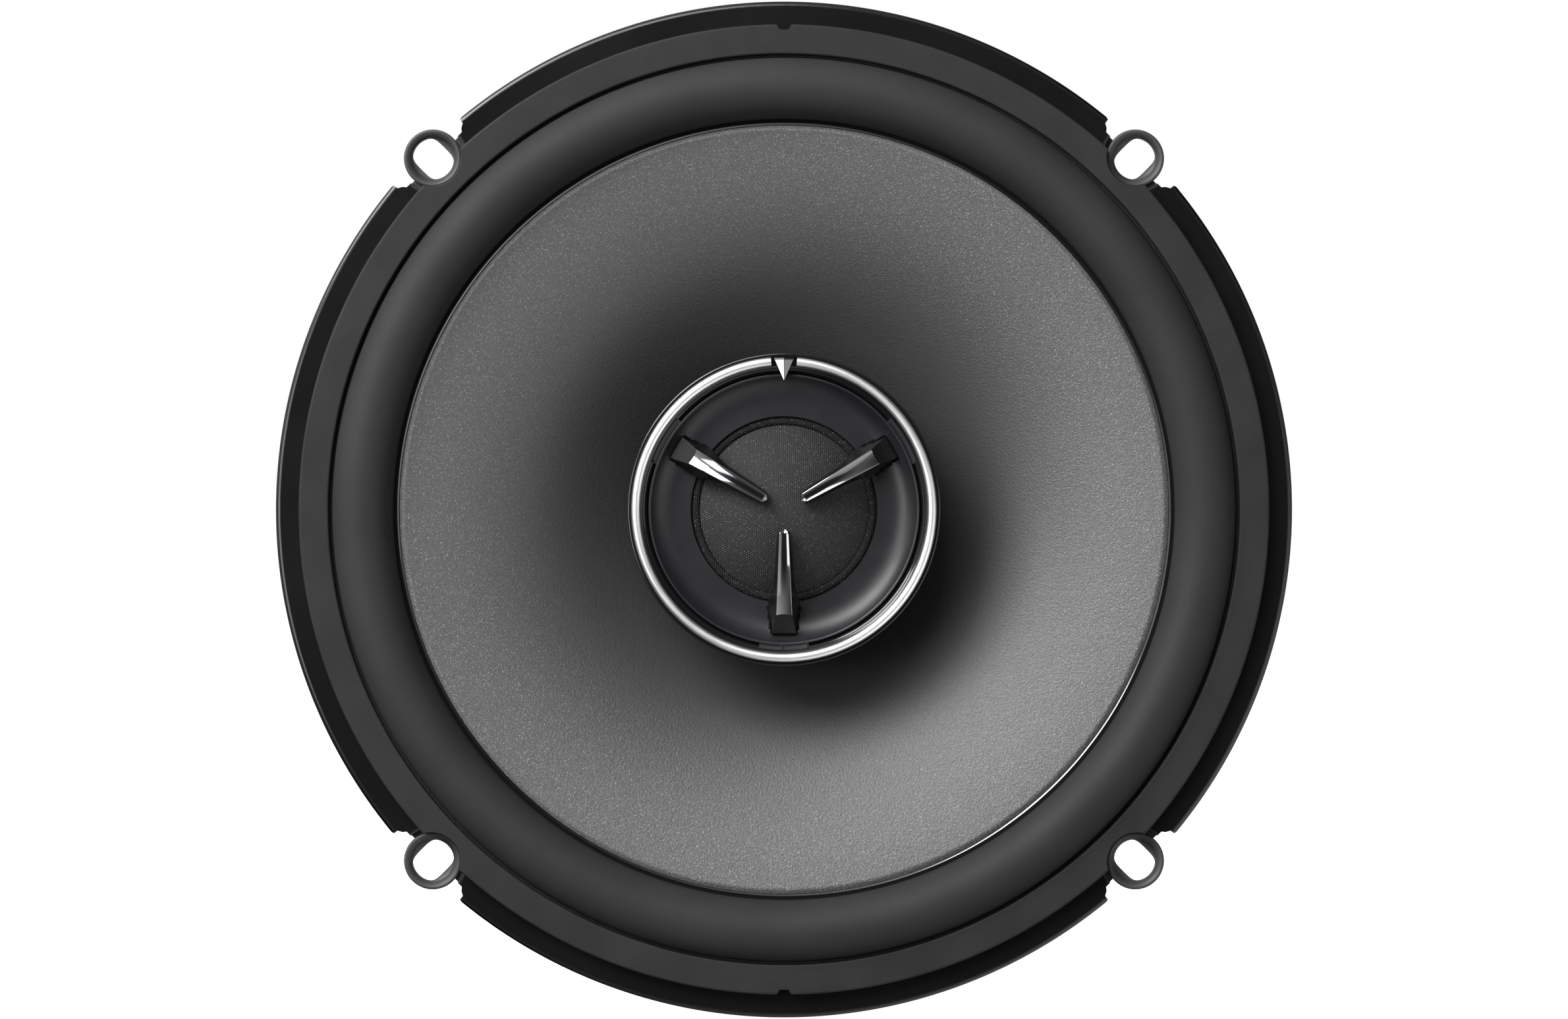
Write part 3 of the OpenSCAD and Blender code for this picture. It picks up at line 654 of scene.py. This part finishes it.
def basket():
    """Pressed steel basket: rolled flange, barrel, spokes, spider cup and motor seat."""
    seat_hole_r = 20
    piece = lathe("basket_shell", softened([
        (FLANGE_R, 0, 0.2), (FLANGE_R, FLANGE_H, 0.9), (LAND_IN, FLANGE_H, 0.35),
        (LAND_IN - 1.2, SHEET, 0.5), (BARREL_R - SHEET, SHEET, 0.9),
        (BARREL_R - SHEET, BARREL_BACK + 0.4, 2), (LEDGE_OUT, LEDGE_Z, 1),
        (LEDGE_IN, LEDGE_Z, 1), (LEDGE_IN - 1.6, SEAT_Z, 1),
        (seat_hole_r, SEAT_Z, 0.2), (seat_hole_r, SEAT_Z - SHEET, 0.2),
        (LEDGE_IN - 0.4, SEAT_Z - SHEET, 1.6),
        (LEDGE_IN + 1.2, LEDGE_Z - SHEET, 1.2), (LEDGE_OUT + 0.9, LEDGE_Z - SHEET, 1.6),
        (BARREL_R, BARREL_BACK, 3), (BARREL_R, 0, 0.3), (LAND_IN - 0.7, 0, 0.8),
        (LAND_IN + 0.5, FLANGE_H - SHEET, 0.8), (FLANGE_R - SHEET, FLANGE_H - SHEET, 0.4),
        (FLANGE_R - SHEET, 0, 0.2)
    ]), 360)

    # a pad under each ear, and a stiffening bead along the spoke below it
    pad_r, pad_h = RECESS_R + 0.9, FLANGE_H - 0.6
    along, length = (BEAD_TOP - BEAD_FOOT).normalized(), (BEAD_TOP - BEAD_FOOT).length
    bm = bmesh.new()
    for angle in EAR_ANGLES:
        add_lathe(bm, [(0, 0), (pad_r, 0), (pad_r, pad_h), (0, pad_h)], 48,
                  turned(angle, EAR_PLACE))

        def bead(x, y, z, angle=angle):
            r = BEAD_FOOT.x + along.x * z + along.y * x
            return turned(angle)(r, y, BEAD_FOOT.y + along.y * z - along.x * x)

        add_lathe(bm, softened([(0, 0), (BEAD_R, 0, 0.7), (BEAD_R, length, 0.7), (0, length)]),
                  24, bead)
    piece = combined(piece, finished("additions", bm), "UNION")

    # the rolled lip ends in a chamfer and a small step on each side of an ear
    bm = bmesh.new()
    side = [(EAR_NECK_R + 0.4, 6.1), (EAR_NECK_R + 0.9, 6.5), (EAR_NECK_R + 1.3, 7.2),
            (FLANGE_R - 0.6, 7.3), (FLANGE_R, 8.8), (FLANGE_R + 6, 9)]
    outline = [(r, -w) for r, w in side] + [(r, w) for r, w in reversed(side)]
    for angle in EAR_ANGLES:
        add_prism(bm, outline, -1, 5, turned(angle))
    piece = combined(piece, finished("clearings", bm))

    # four windows between the spokes, eight vents in the cup, and a round recess at each ear
    window, window_mid = round_rect(52, 11.7, 3), -15.45
    vent, vent_mid = round_rect(9, 3.4, 1.5), -26.4
    bm = bmesh.new()
    for angle in (0, 90, 180, 270):
        to = turned(angle)
        add_prism(bm, window, 44, 68, lambda u, v, w, to=to: to(w, u, v + window_mid))
    for i in range(8):
        to = turned(22.5 + 45 * i)
        add_prism(bm, vent, 38, 46, lambda u, v, w, to=to: to(w, u, v + vent_mid))
    for angle in EAR_ANGLES:
        add_lathe(bm, softened([(0, SHEET), (RECESS_R, SHEET, 0.3), (RECESS_R, 6),
                                (0, 6)]), 64, turned(angle, EAR_PLACE))
    piece = combined(piece, finished("openings", bm))

    bm = bmesh.new()
    for angle in EAR_ANGLES:
        add_lathe(bm, softened([(0, 0), (EAR_R, 0, 0.2), (EAR_R, EAR_H, 0.35),
                                (0, EAR_H)]), 72, turned(angle, EAR_PLACE))
    piece = combined(piece, finished("ears", bm), "UNION")

    # a soft funnel leads down to the shelf that carries the slot
    bore, floor_h, mouth = 3.25, 1.25, 0.95
    funnel = [(bore, floor_h), (bore + 0.12, floor_h + 0.4), (bore + 0.36, floor_h + 0.72),
              (bore + 0.7, EAR_H - 0.07), (bore + mouth, EAR_H + 0.02)]
    bm = bmesh.new()
    for angle in EAR_ANGLES:
        add_lathe(bm, [(0, floor_h), *funnel, (bore + mouth, 4), (0, 4)], 72,
                  turned(angle, EAR_PLACE))
    piece = combined(piece, finished("ear_bores", bm, 60), sharp=40)

    # the slot is the smaller of a circle and two flats, with a soft corner where they meet
    slot_r, slot_half, softness = 3.28, 2.5, 10
    bm = bmesh.new()
    outline = []
    for i in range(72):
        a = 2 * math.pi * i / 72
        flats = abs(math.sin(a)) / slot_half
        r = (slot_r ** -softness + flats ** softness) ** (-1 / softness)
        outline.append((r * math.cos(a), r * math.sin(a)))
    for angle in EAR_ANGLES:
        add_prism(bm, outline, -1, 3, turned(angle, EAR_PLACE))
    piece = combined(piece, finished("ear_slots", bm))
    return stands_for(piece, "chassis", "basket", "basket_paint", "basket")


def gasket():
    """Moulded ring with a cut-out round each ear and a small notch at the top and bottom."""
    low, shelf, foot_in = FLANGE_H + 0.02, FLANGE_H + 0.5, SURROUND_R + 0.1
    piece = lathe("gasket_ring", softened([
        (foot_in, low), (GASKET_R, low, 0.15), (GASKET_R, GASKET_TOP, 0.4),
        (GASKET_IN, GASKET_TOP, 0.35), (GASKET_IN, shelf, 0.1), (foot_in, shelf)
    ]), 360)
    rounded, above = 0.22, GASKET_TOP + 1
    edge_r = CUTOUT_R + rounded
    notch_in, notch_out, notch_half, notch_mouth = GASKET_R - 0.85, GASKET_R + 0.5, 0.7, 1.5
    bm = bmesh.new()
    for angle in EAR_ANGLES:
        add_lathe(bm, [(0, 0), (CUTOUT_R, 0), (CUTOUT_R, GASKET_TOP - 0.3),
                       *arc((edge_r, GASKET_TOP - rounded), rounded, 170, 90, 6),
                       (edge_r, above), (0, above)], 72, turned(angle, EAR_PLACE))
    for angle in (90, 270):
        add_prism(bm, [(notch_in, -notch_half), (notch_out, -notch_mouth),
                       (notch_out, notch_mouth), (notch_in, notch_half)],
                  FLANGE_H - 1, above, turned(angle))
    piece = combined(piece, finished("cuts", bm))
    return stands_for(piece, "chassis", "gasket", "gasket_rubber", "gasket")


def surround():
    """Half roll with a flat outer lip and a short foot on the cone's edge."""
    thick, lip = 0.5, 0.5
    mid, r = (ROLL_IN + ROLL_OUT) / 2, (ROLL_OUT - ROLL_IN) / 2
    centre = (mid, ROLL_TOP - r)
    top = centre[1] + lip / 2
    outer = arc(centre, r, 6, 174, 40)
    inner = arc(centre, r - thick, 177, 3, 40)
    section = ([(SURROUND_R, top - lip), (SURROUND_R, top)]
               + corner((SURROUND_R, top), (ROLL_OUT, top), outer[0], 0.35, 3) + outer
               + [(TRIM_R, top - 0.3), (TRIM_R, JOINT_Z), (ROLL_IN + 0.3, JOINT_Z)] + inner)
    piece = lathe("half_roll", section, 320)
    paint(piece, "surround")
    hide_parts("surround")
    return piece


def cone():
    """Flared cone with a fine ridge along its edge."""
    thick, flare = 0.5, 13
    edge_r, edge_z = CONE_EDGE
    face = arc_through(CONE_EDGE, CONE_NECK, flare, 90)
    rim = [(CONE_R, edge_z), (edge_r + 0.04, edge_z)]
    groove_crest_and_foot = ((0.01, -0.09), (0.05, -0.08), (0.25, 0.02), (0.49, -0.105))
    ridge = [(edge_r - inwards, edge_z + up) for inwards, up in groove_crest_and_foot]
    neck = [(15.3, -17.7), (15.3, -19), (16, -19)]
    section = (rim + ridge + [p for p in face if p[0] < edge_r - 0.55] + neck
               + shifted(face[::-1], -thick) + [(CONE_R, edge_z - thick)])
    piece = lathe("cone_shell", section, 320, sharp=50)
    return stands_for(piece, "cone_assembly", "cone", "cone_polymer", "cone")


def trim_ring():
    """Gloss ring over the joint of cone and surround, with a fine ridge."""
    inner, outer = [(59.92, JOINT_Z), (60.04, JOINT_Z + 0.04)], TRIM_R - 0.02
    ridge = [(60.16, 2.92), (60.22, 3), (60.44, 3.11), (60.66, 3), (60.76, 2.88)]
    section = inner + ridge + [(outer, 2.8), (outer, JOINT_Z)]
    piece = lathe("edge_trim", section, 320, sharp=40)
    return stands_for(piece, "cone_assembly", "trim", "cone_trim", "cone_trim_ring")


def housing():
    """Cup of the tweeter, whose rim stands just outside the bright ring."""
    lip, ring_out, flute_r = 0.35, BEZEL_R + 0.05, 22.3
    back_r, waist_z, inside_r, waist_in, inside_back_r = 17.5, -3, 22, -2.2, 16.2
    ledge_in, ledge_low, wire_r, floor_z = 20.6, GUIDE_LEDGE - 1.5, 2.2, -8.8
    # flutes between the bright ring and the waveguide, each with a face that leans inwards
    flutes = []
    for i in range(3):
        r, z = flute_r - 0.34 * i, BEZEL_Z - 0.08 - 0.22 * i
        flutes += [(r, z), (r - 0.22, z - 0.12), (r - 0.25, z - 0.22)]
    piece = lathe("tweeter_cup", softened([
        (back_r, HOUSING_BACK, 0.6), (HOUSING_R, waist_z, 1.5), (HOUSING_R, HOUSING_TOP, lip),
        (ring_out, HOUSING_TOP, 0.08), (ring_out, BEZEL_Z), (BEZEL_IN, BEZEL_Z, 0.04), *flutes,
        (21.3, GUIDE_LEDGE), (ledge_in, GUIDE_LEDGE), (ledge_in, ledge_low),
        (inside_r, ledge_low), (inside_r, waist_in), (inside_back_r, floor_z),
        (wire_r, floor_z), (wire_r, HOUSING_BACK)
    ]), 240, sharp=25)
    return stands_for(piece, "chassis", "gloss", "housing_gloss", "tweeter_housing")


def bezel():
    """Bright ring, open at the top for the index wedge."""
    rise, opening = 0.6, 5
    mid, half = (BEZEL_IN + BEZEL_R) / 2, (BEZEL_R - BEZEL_IN) / 2
    crown = [(mid + half * math.cos(math.radians(a)),
              BEZEL_TOP - rise + rise * math.sin(math.radians(a))) for a in range(0, 181, 9)]
    piece = lathe("bright_ring", [(BEZEL_IN, BEZEL_Z), (BEZEL_R, BEZEL_Z), *crown], 280,
                  90 + opening, 360 - 2 * opening)
    return stands_for(piece, "chassis", "chrome", "bright_chrome", "bezel_ring")


def waveguide():
    """Dished ring round the dome, steeper towards its rim, and three tabs to the housing."""
    rim, low, spigot_r = (GUIDE_R - 0.25, 5.3), 2.55, 20.4
    throat_z, rise, throat_low = 3.3, 2.0, 3.1
    dish = [(THROAT_R + 0.1 + (rim[0] - THROAT_R - 0.1) * t, throat_z + rise * t ** 4)
            for t in (1 - i / 40 for i in range(41))]
    piece = lathe("guide_dish", [
        (THROAT_R, low), (spigot_r, low), (spigot_r, GUIDE_LEDGE), (GUIDE_R, GUIDE_LEDGE),
        *corner((GUIDE_R, GUIDE_LEDGE), (GUIDE_R, rim[1]), rim, 0.15, 4), *dish,
        (THROAT_R, throat_low)
    ], 280)
    tab_in, tab_top, tab_sweep = GUIDE_R - 0.5, 4.9, 21
    bm = bmesh.new()
    for angle in BLADE_ANGLES:
        add_lathe(bm, softened([(tab_in, GUIDE_LEDGE), (TAB_R, GUIDE_LEDGE),
                                (TAB_R, tab_top, 0.2), (tab_in, tab_top)]),
                  16, here, angle - tab_sweep / 2, tab_sweep)
    piece = combined(piece, finished("tabs", bm), "UNION")
    # a seat for each blade's root, and a slot under the wedge
    bm = bmesh.new()
    for angle in BLADE_ANGLES:
        radii = [15.05, 15.6, BLADE_BREAK, 18, BLADE_FOOT + 0.05]
        outline = ([(r, root_half(r) + 0.05) for r in radii]
                   + [(r, -root_half(r) - 0.05) for r in reversed(radii)])
        add_prism(bm, outline, 3.2, 9, turned(angle))
    add_prism(bm, [(19.9, -2), (22, -2), (22, 2), (19.9, 2)], BEZEL_Z, 8, turned(90))
    piece = combined(piece, finished("slots", bm))
    return stands_for(piece, "chassis", "waveguide", "waveguide_satin", "waveguide")


def blade_half(r):
    """Half width of a blade's top."""
    if r < BLADE_BREAK:
        return 0.72 + 0.58 * (r - BLADE_TIP) / (BLADE_BREAK - BLADE_TIP)
    return 1.3 + 0.2 * (r - BLADE_BREAK)


def root_half(r):
    """Half width of a blade's underside, which swells into an arrow where it meets the dish."""
    widths = ((BLADE_TIP, 1.0), (6.2, 1.25), (11, 1.6), (12.4, 1.85), (14.3, 2.5), (15, 2.55),
              (BLADE_FOOT, 1.97))
    for (r0, w0), (r1, w1) in zip(widths, widths[1:]):
        if r <= r1:
            return w0 + (w1 - w0) * (r - r0) / (r1 - r0)
    return widths[-1][1]


def blades():
    """Three guard blades: a black body, and along its top a polished facet, hollow across."""
    body, facets = bmesh.new(), bmesh.new()
    bevel, hollow_share, steepest, nose = 0.1, 0.17, 0.5, 0.8
    nose_drop, root_drop, least_h, lowest = 0.35, 2.3, 0.9, 3.2
    length = BLADE_BREAK - BLADE_TIP
    stations = [BLADE_TIP + nose * (1 - math.cos(math.pi / 2 * i / 7)) for i in range(8)]
    stations += [BLADE_TIP + nose + (length - nose) * i / 28 for i in range(1, 29)]

    def top_at(r):
        """The top falls away ever more steeply towards the root, then drops to the dish."""
        s = min(1.0, (r - BLADE_TIP) / length)
        line = BLADE_TOP - steepest * length * s ** 3 / 3
        under = max(0.0, BLADE_TIP + nose - r) / nose
        fall = max(0.0, r - BLADE_BREAK) / (BLADE_FOOT - BLADE_BREAK)
        return line - nose_drop * under ** 2 - root_drop * fall

    def low_at(r):
        """The underside falls a little along the bar, then steeply to the dish."""
        low = 7.6 - 0.6 * (r - BLADE_TIP) / 10.5 if r < 13.6 else 7 - 3.8 * (r - 13.6) / 1.5
        return max(lowest, min(low, top_at(r) - least_h))

    def half_at(r):
        """Half width of the top, rounded off at the tip."""
        near = min(1.0, (r - BLADE_TIP + 0.02) / nose)
        return blade_half(r) * math.sqrt(1 - (1 - near) ** 2)

    for angle in BLADE_ANGLES:
        to = turned(angle)
        rows = []
        for r in stations + [BLADE_BREAK + 0.01, 17.4, 18.4, BLADE_FOOT]:
            half, top, low = half_at(r), top_at(r), low_at(r)
            on_foot = r > BLADE_BREAK
            wide = root_half(r) * half / blade_half(r)
            top -= 0.05 if on_foot else hollow_share * half + 0.08
            shape = softened([(-wide, low, 0.1), (wide, low, 0.1), (half, top, 0.08),
                              (-half, top, 0.08)], 2)
            rows.append([body.verts.new(place(*to(r, v, w))) for v, w in shape])
        bridge(body, rows)
        rows = []
        for r in stations:
            half, top = half_at(r), top_at(r)
            edge = min(bevel, 0.4 * half)
            inner = half - edge
            hollow = hollow_share * inner
            low = top - hollow_share * half - 0.3
            side = [(half, top - 0.1), (half - 0.35 * edge, top - 0.03), (inner, top)]
            shape = [(-half, low), *((-v, w) for v, w in side)]
            shape += [(inner * i / 8, top - hollow * (1 - (i / 8) ** 2)) for i in range(-7, 8)]
            shape += [*reversed(side), (half, low)]
            rows.append([facets.verts.new(place(*to(r, v, w))) for v, w in shape])
        bridge(facets, rows)
    bodies = finished("blade_bodies", body)
    tops = finished("blade_facets", facets, 24)
    stands_for(bodies, "chassis", "blade_body", "blade_chrome", "guard_blades")
    stands_for(tops, "chassis", "black_chrome", "blade_chrome", "guard_blades")


def bridge(bm, rows):
    """Skin over closed rows of points, with both ends capped."""
    n = len(rows[0])
    for near, far in zip(rows, rows[1:]):
        for k in range(n):
            bm.faces.new((near[k], near[(k + 1) % n], far[(k + 1) % n], far[k]))
    bm.faces.new(rows[0][::-1])
    bm.faces.new(rows[-1])


def wedge():
    """Pointed mark in the gap of the bright ring: two facets that meet in a ridge."""
    tip, back, half, drop, ridge_z, chamfer = 20.15, 23.6, 1.6, 0.5, 6.9, 0.25
    flat, bevel, bevel_h = 0.04, 0.05, 0.06
    bm = bmesh.new()
    rows = []
    for r in (tip, back - 0.3, back):
        share = max((r - tip) / (back - tip), 0.03)
        top = ridge_z - (chamfer if r == back else 0)
        side = top - drop * share
        w = half * share
        shape = [(-w, BEZEL_Z), (w, BEZEL_Z), (w, side - bevel_h), (w - bevel * share, side),
                 (flat * share, top), (-flat * share, top), (bevel * share - w, side),
                 (-w, side - bevel_h)]
        rows.append([bm.verts.new(place(*turned(90)(r, v, z))) for v, z in shape])
    bridge(bm, rows)
    piece = finished("pointed_mark", bm, 12)
    return stands_for(piece, "chassis", "black_chrome", "bright_chrome", "index_wedge")


def spider():
    """Corrugated cloth disc with a cuff on the former and a flat rim on the basket's ledge."""
    r0, r1, high, thick, waves = 17, 43, 0.9, 0.4, 6
    inner, foot = span("voice_coil_former")[0] + 0.06, LEDGE_Z
    mid = foot + thick / 2
    steps = waves * 12
    wave = [(r0 + (r1 - r0) * i / steps, mid + high * math.sin(2 * math.pi * waves * i / steps))
            for i in range(steps + 1)]
    section = [(inner, foot), (inner, mid + 0.6), (inner + 0.5, mid + 0.6),
               (inner + 0.7, mid + thick / 2)]
    section += [(r, z + thick / 2) for r, z in wave]
    section += [(SPIDER_R, mid + thick / 2), (SPIDER_R, foot)]
    section += [(r, z - thick / 2) for r, z in reversed(wave)]
    piece = lathe("corrugated_spider", section, 240, sharp=50)
    paint(piece, "spider")
    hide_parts("spider")
    return piece


def smooth_path(points, steps):
    """A curve through the points, as many steps in each stretch."""
    ends = [2 * points[0] - points[1], *points, 2 * points[-1] - points[-2]]
    made = [points[0]]
    for a, b, c, d in zip(ends, ends[1:], ends[2:], ends[3:]):
        for i in range(1, steps + 1):
            t = i / steps
            made.append(0.5 * (2 * b + (c - a) * t + (2 * a - 5 * b + 4 * c - d) * t * t
                               + (3 * b - a - 3 * c + d) * t ** 3))
    return made


def strung(name, path, radius, strands=0, twist=1.6):
    """A round wire along a path, or a braid of strands with a twist in radians a millimetre."""
    bm = bmesh.new()
    rows, side, turn, sides, groove_share = [], None, 0.0, 20, 0.12
    for i, p in enumerate(path):
        along = (path[min(i + 1, len(path) - 1)] - path[max(i - 1, 0)]).normalized()
        side = along.orthogonal() if side is None else side - along * side.dot(along)
        side.normalize()
        over = along.cross(side)
        if i:
            turn += (p - path[i - 1]).length / MM * twist
        row = []
        for k in range(sides):
            a = 2 * math.pi * k / sides
            groove = groove_share * (1 - abs(math.cos(strands * a / 2))) if strands else 0
            r = radius * (1 - groove) * MM
            row.append(bm.verts.new(p + r * (math.cos(a + turn) * side
                                             + math.sin(a + turn) * over)))
        rows.append(row)
    bridge(bm, rows)
    return finished(name, bm, 80)


def capacitor():
    """Axial capacitor on the spider's cup: shrunk sleeve, resin ends and two tinned wires."""
    angle, r, half, wire = 218, 5, 10, 0.4
    x0, z0 = 50, LEDGE_Z - SHEET - 0.1 - r
    to = turned(angle)

    def lying(x, y, z):
        """From the capacitor's own axis to the axis frame."""
        return to(x0 + x, z, z0 + y)

    shoulder = [(r - 0.7, half - 0.35, 0.2), (r - 0.15, half - 0.5, 0.3), (r, half - 1.2, 0.4),
                (r, half - 2, 0.3), (r - 0.22, half - 2.4, 0.3), (r, half - 2.8, 0.3)]
    section = [(0, half - 0.35), *shoulder, *((x, -y, q) for x, y, q in reversed(shoulder)),
               (0, 0.35 - half)]
    bm = bmesh.new()
    add_lathe(bm, softened(section, 4), 72, lying)
    sleeve = finished("capacitor_body", bm)
    bm = bmesh.new()
    for sign in (1, -1):
        ring = [(0, 0), (r - 0.9, 0, 0.05), (r - 1, sign * 0.28, 0.15), (0.8, sign * 0.33, 0.2),
                (0.45, sign * 0.8), (0, sign * 0.8)]
        add_lathe(bm, [(x, sign * (half - 0.4) + y) for x, y in softened(ring, 3)], 48, lying)
    ends = finished("capacitor_ends", bm)
    tag_z = span("terminal_board")[1] + 1.3
    # one wire goes straight to its tag, and the other comes back beside the sleeve
    near = [(x0, -half + 0.6, z0), (x0, -half - 1.6, z0), (x0, -half - 2.9, z0 + 0.15),
            (49.6, -21, tag_z)]
    beside = x0 + 6.2
    far = [(x0, half - 0.6, z0), (x0, half + 1.6, z0), (51, half + 2.5, z0),
           (beside - 1, half + 2.5, z0), (beside, half + 1.5, z0), (beside, 0, z0),
           (beside, -half - 2, z0), (52.75, -23.4, tag_z)]
    pieces = [(sleeve, "sleeve"), (ends, "resin")]
    for name, points in (("capacitor_wire_near", near), ("capacitor_wire_far", far)):
        path = smooth_path([place(*to(*point)) for point in points], 8)
        pieces.append((strung(name, path, wire), "tinned_wire"))
    for piece, finish in pieces:
        stands_for(piece, "chassis", finish, "capacitor_sleeve", "crossover_capacitor")


def tinsel_lead(side, node):
    """Flexible lead from a terminal's stem to the former, slack in the middle."""
    low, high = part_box(node)
    stem, top = low.x / MM + 0.5, -high.y / MM
    points = [(stem, 8, top), (stem, 8, -18.6), (-50, 7.6, -17.4), (-43, 7.3, -16.2),
              (-36, 7, -15.4), (-30, 6.6, -15.9), (-24, 6.2, -17.2), (-18.5, 5.6, -19.4),
              (-15.3, 5.5, -19.9)]
    path = smooth_path([place(x, side * y, z) for x, y, z in points], 14)
    name = "flexible_lead_positive" if side > 0 else "flexible_lead_negative"
    piece = strung(name, path, 0.5, strands=5)
    paint(piece, "tinsel")
    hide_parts(node)
    return piece


def dome():
    """Woven cap, as thick as its cloth."""
    thick, rings = 0.25, 48
    height = DOME_TOP - DOME_Z
    r = (DOME_R ** 2 + height ** 2) / 2 / height
    centre = (0, DOME_TOP - r)
    reach = math.degrees(math.asin(DOME_R / r))
    outer = arc(centre, r, 90 - reach, 90, rings)
    inner = arc(centre, r - thick, 90, 90 - reach, rings)
    outer[-1], inner[0] = (0, DOME_TOP), (0, DOME_TOP - thick)
    piece = lathe("dome_cap", outer + inner, 180, sharp=60)
    return stands_for(piece, "dome_assembly", "dome", "dome_cloth", "tweeter_dome")


def dome_surround():
    """Small cloth roll between the dome and the throat."""
    mid, r, thick = (DOME_ROLL_IN + THROAT_R) / 2, (THROAT_R - DOME_ROLL_IN) / 2 - 0.03, 0.2
    z, flat, rim_r, depth = 2.55, 0.7, 17.6, 0.25
    crown = [(x, z + flat * (y - z)) for x, y in arc((mid, z), r, 0, 180, 16)]
    under = [(x, z + flat * (y - z)) for x, y in arc((mid, z), r - thick, 180, 0, 16)]
    piece = lathe("dome_roll", [(rim_r, z - depth), (rim_r, z), *crown, *under,
                                (mid + r - thick, z - depth)], 220, sharp=50)
    paint(piece, "dome_edge")
    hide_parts("tweeter_surround")
    return piece


def flexes(piece):
    """The piece's placement is baked into its mesh.

    These pieces are rings and leads that turn from one body to the other towards the axis.
    """
    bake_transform(piece)


basket()
gasket()
flexes(surround())
cone()
trim_ring()
housing()
bezel()
waveguide()
blades()
dome()
wedge()
capacitor()
flexes(spider())
for side, node in ((1, "tinsel_lead_positive"), (-1, "tinsel_lead_negative")):
    flexes(tinsel_lead(side, node))
flexes(dome_surround())


# ---- studio ----

# how strongly the soft boxes favour the upper left and lower right over the other corners
LIGHT_LEAN = 2.4
# each light's name, place in metres, size and power, all aimed at the middle of the speaker
LIGHTS = (
    ("key", (-0.62, -0.62, 0.62), 0.55, 11),
    ("upper", (-0.27, -0.96, 0.67), 0.5, 5),
    ("side", (-0.69, -0.98, 0.0), 0.5, 3.5),
    ("fill", (0.8, -0.9, -0.3), 0.9, 1.6),
)


def area_light(name, place_at, size, power):
    data = bpy.data.lights.new(name, "AREA")
    data.shape = "RECTANGLE"
    data.size = data.size_y = size
    data.energy = power
    lamp = bpy.data.objects.new(name, data)
    lamp.location = place_at
    lamp.rotation_euler = (-Vector(place_at)).to_track_quat("-Z", "Y").to_euler()
    bpy.context.scene.collection.objects.link(lamp)


def world():
    """White to the camera, a dim room to matt surfaces, and soft boxes at the front to gloss."""
    made = bpy.data.worlds.new("studio")
    bpy.context.scene.world = made
    made.use_nodes = True
    tree = made.node_tree
    tree.nodes.clear()

    node = functools.partial(add_node, tree)

    def by_depth(*stops):
        """Strength against how far a direction points backwards, from 0 at the front to 1."""
        return add_ramp(tree, depth, stops)

    where = node("ShaderNodeTexCoord").outputs["Generated"]
    parts = node("ShaderNodeSeparateXYZ", {"Vector": where}).outputs
    depth = node("ShaderNodeMath", {0: parts["Y"], 1: 0.5, 2: 0.5},
                 operation="MULTIPLY_ADD").outputs[0]
    across = node("ShaderNodeMath", {0: parts["X"], 1: parts["Z"]},
                  operation="MULTIPLY").outputs[0]
    lean = node("ShaderNodeMath", {0: across, 1: -LIGHT_LEAN, 2: 1.0},
                operation="MULTIPLY_ADD").outputs[0]
    room = node("ShaderNodeBackground", {
        "Color": by_depth((0, 0.1), (0.3, 0.1), (0.6, 0.3), (0.95, 0.6))})
    boxes = node("ShaderNodeBackground", {
        "Color": by_depth((0, 0.05), (0.015, 0.05), (0.1, 0.5), (0.35, 0.8), (0.6, 0.4),
                          (0.9, 0.7)), "Strength": lean})
    seen = node("ShaderNodeBackground", {"Color": (1, 1, 1, 1)})
    ray = node("ShaderNodeLightPath").outputs
    mix = node("ShaderNodeMixShader", {0: ray["Is Glossy Ray"], 1: room.outputs[0],
                                       2: boxes.outputs[0]})
    mix = node("ShaderNodeMixShader", {0: ray["Is Camera Ray"], 1: mix.outputs[0],
                                       2: seen.outputs[0]})
    node("ShaderNodeOutputWorld", {"Surface": mix.outputs[0]})


def floor():
    """A pale floor just below the flange, which neither lights the speaker nor shows in it."""
    size, drop = 6.0, 0.002
    bpy.ops.mesh.primitive_plane_add(size=size, location=(0, 0, cad_low.z - drop))
    plane = bpy.context.object
    plane.name = "floor"
    m = Nodes("pale_floor", (0.9, 0.9, 0.9), 0.8, Emission_Color=(1, 1, 1, 1),
              Emission_Strength=0.9)
    plane.data.materials.append(m.material)
    plane.visible_diffuse = False
    plane.visible_glossy = False


def camera():
    """Straight on to the front, with the whole flange in the frame."""
    frame_width, front = 0.2453, 0.0026
    data = bpy.data.cameras.new("camera")
    data.lens = 100
    data.sensor_width = 36
    data.clip_end = 20
    made = bpy.data.objects.new("camera", data)
    distance = frame_width * data.lens / data.sensor_width
    made.location = (0, -distance - front, 0)
    made.rotation_euler = (math.radians(90), 0, 0)
    bpy.context.scene.collection.objects.link(made)
    bpy.context.scene.camera = made


world()
floor()
camera()
for light in LIGHTS:
    area_light(*light)
bpy.context.scene.view_settings.view_transform = "Standard"
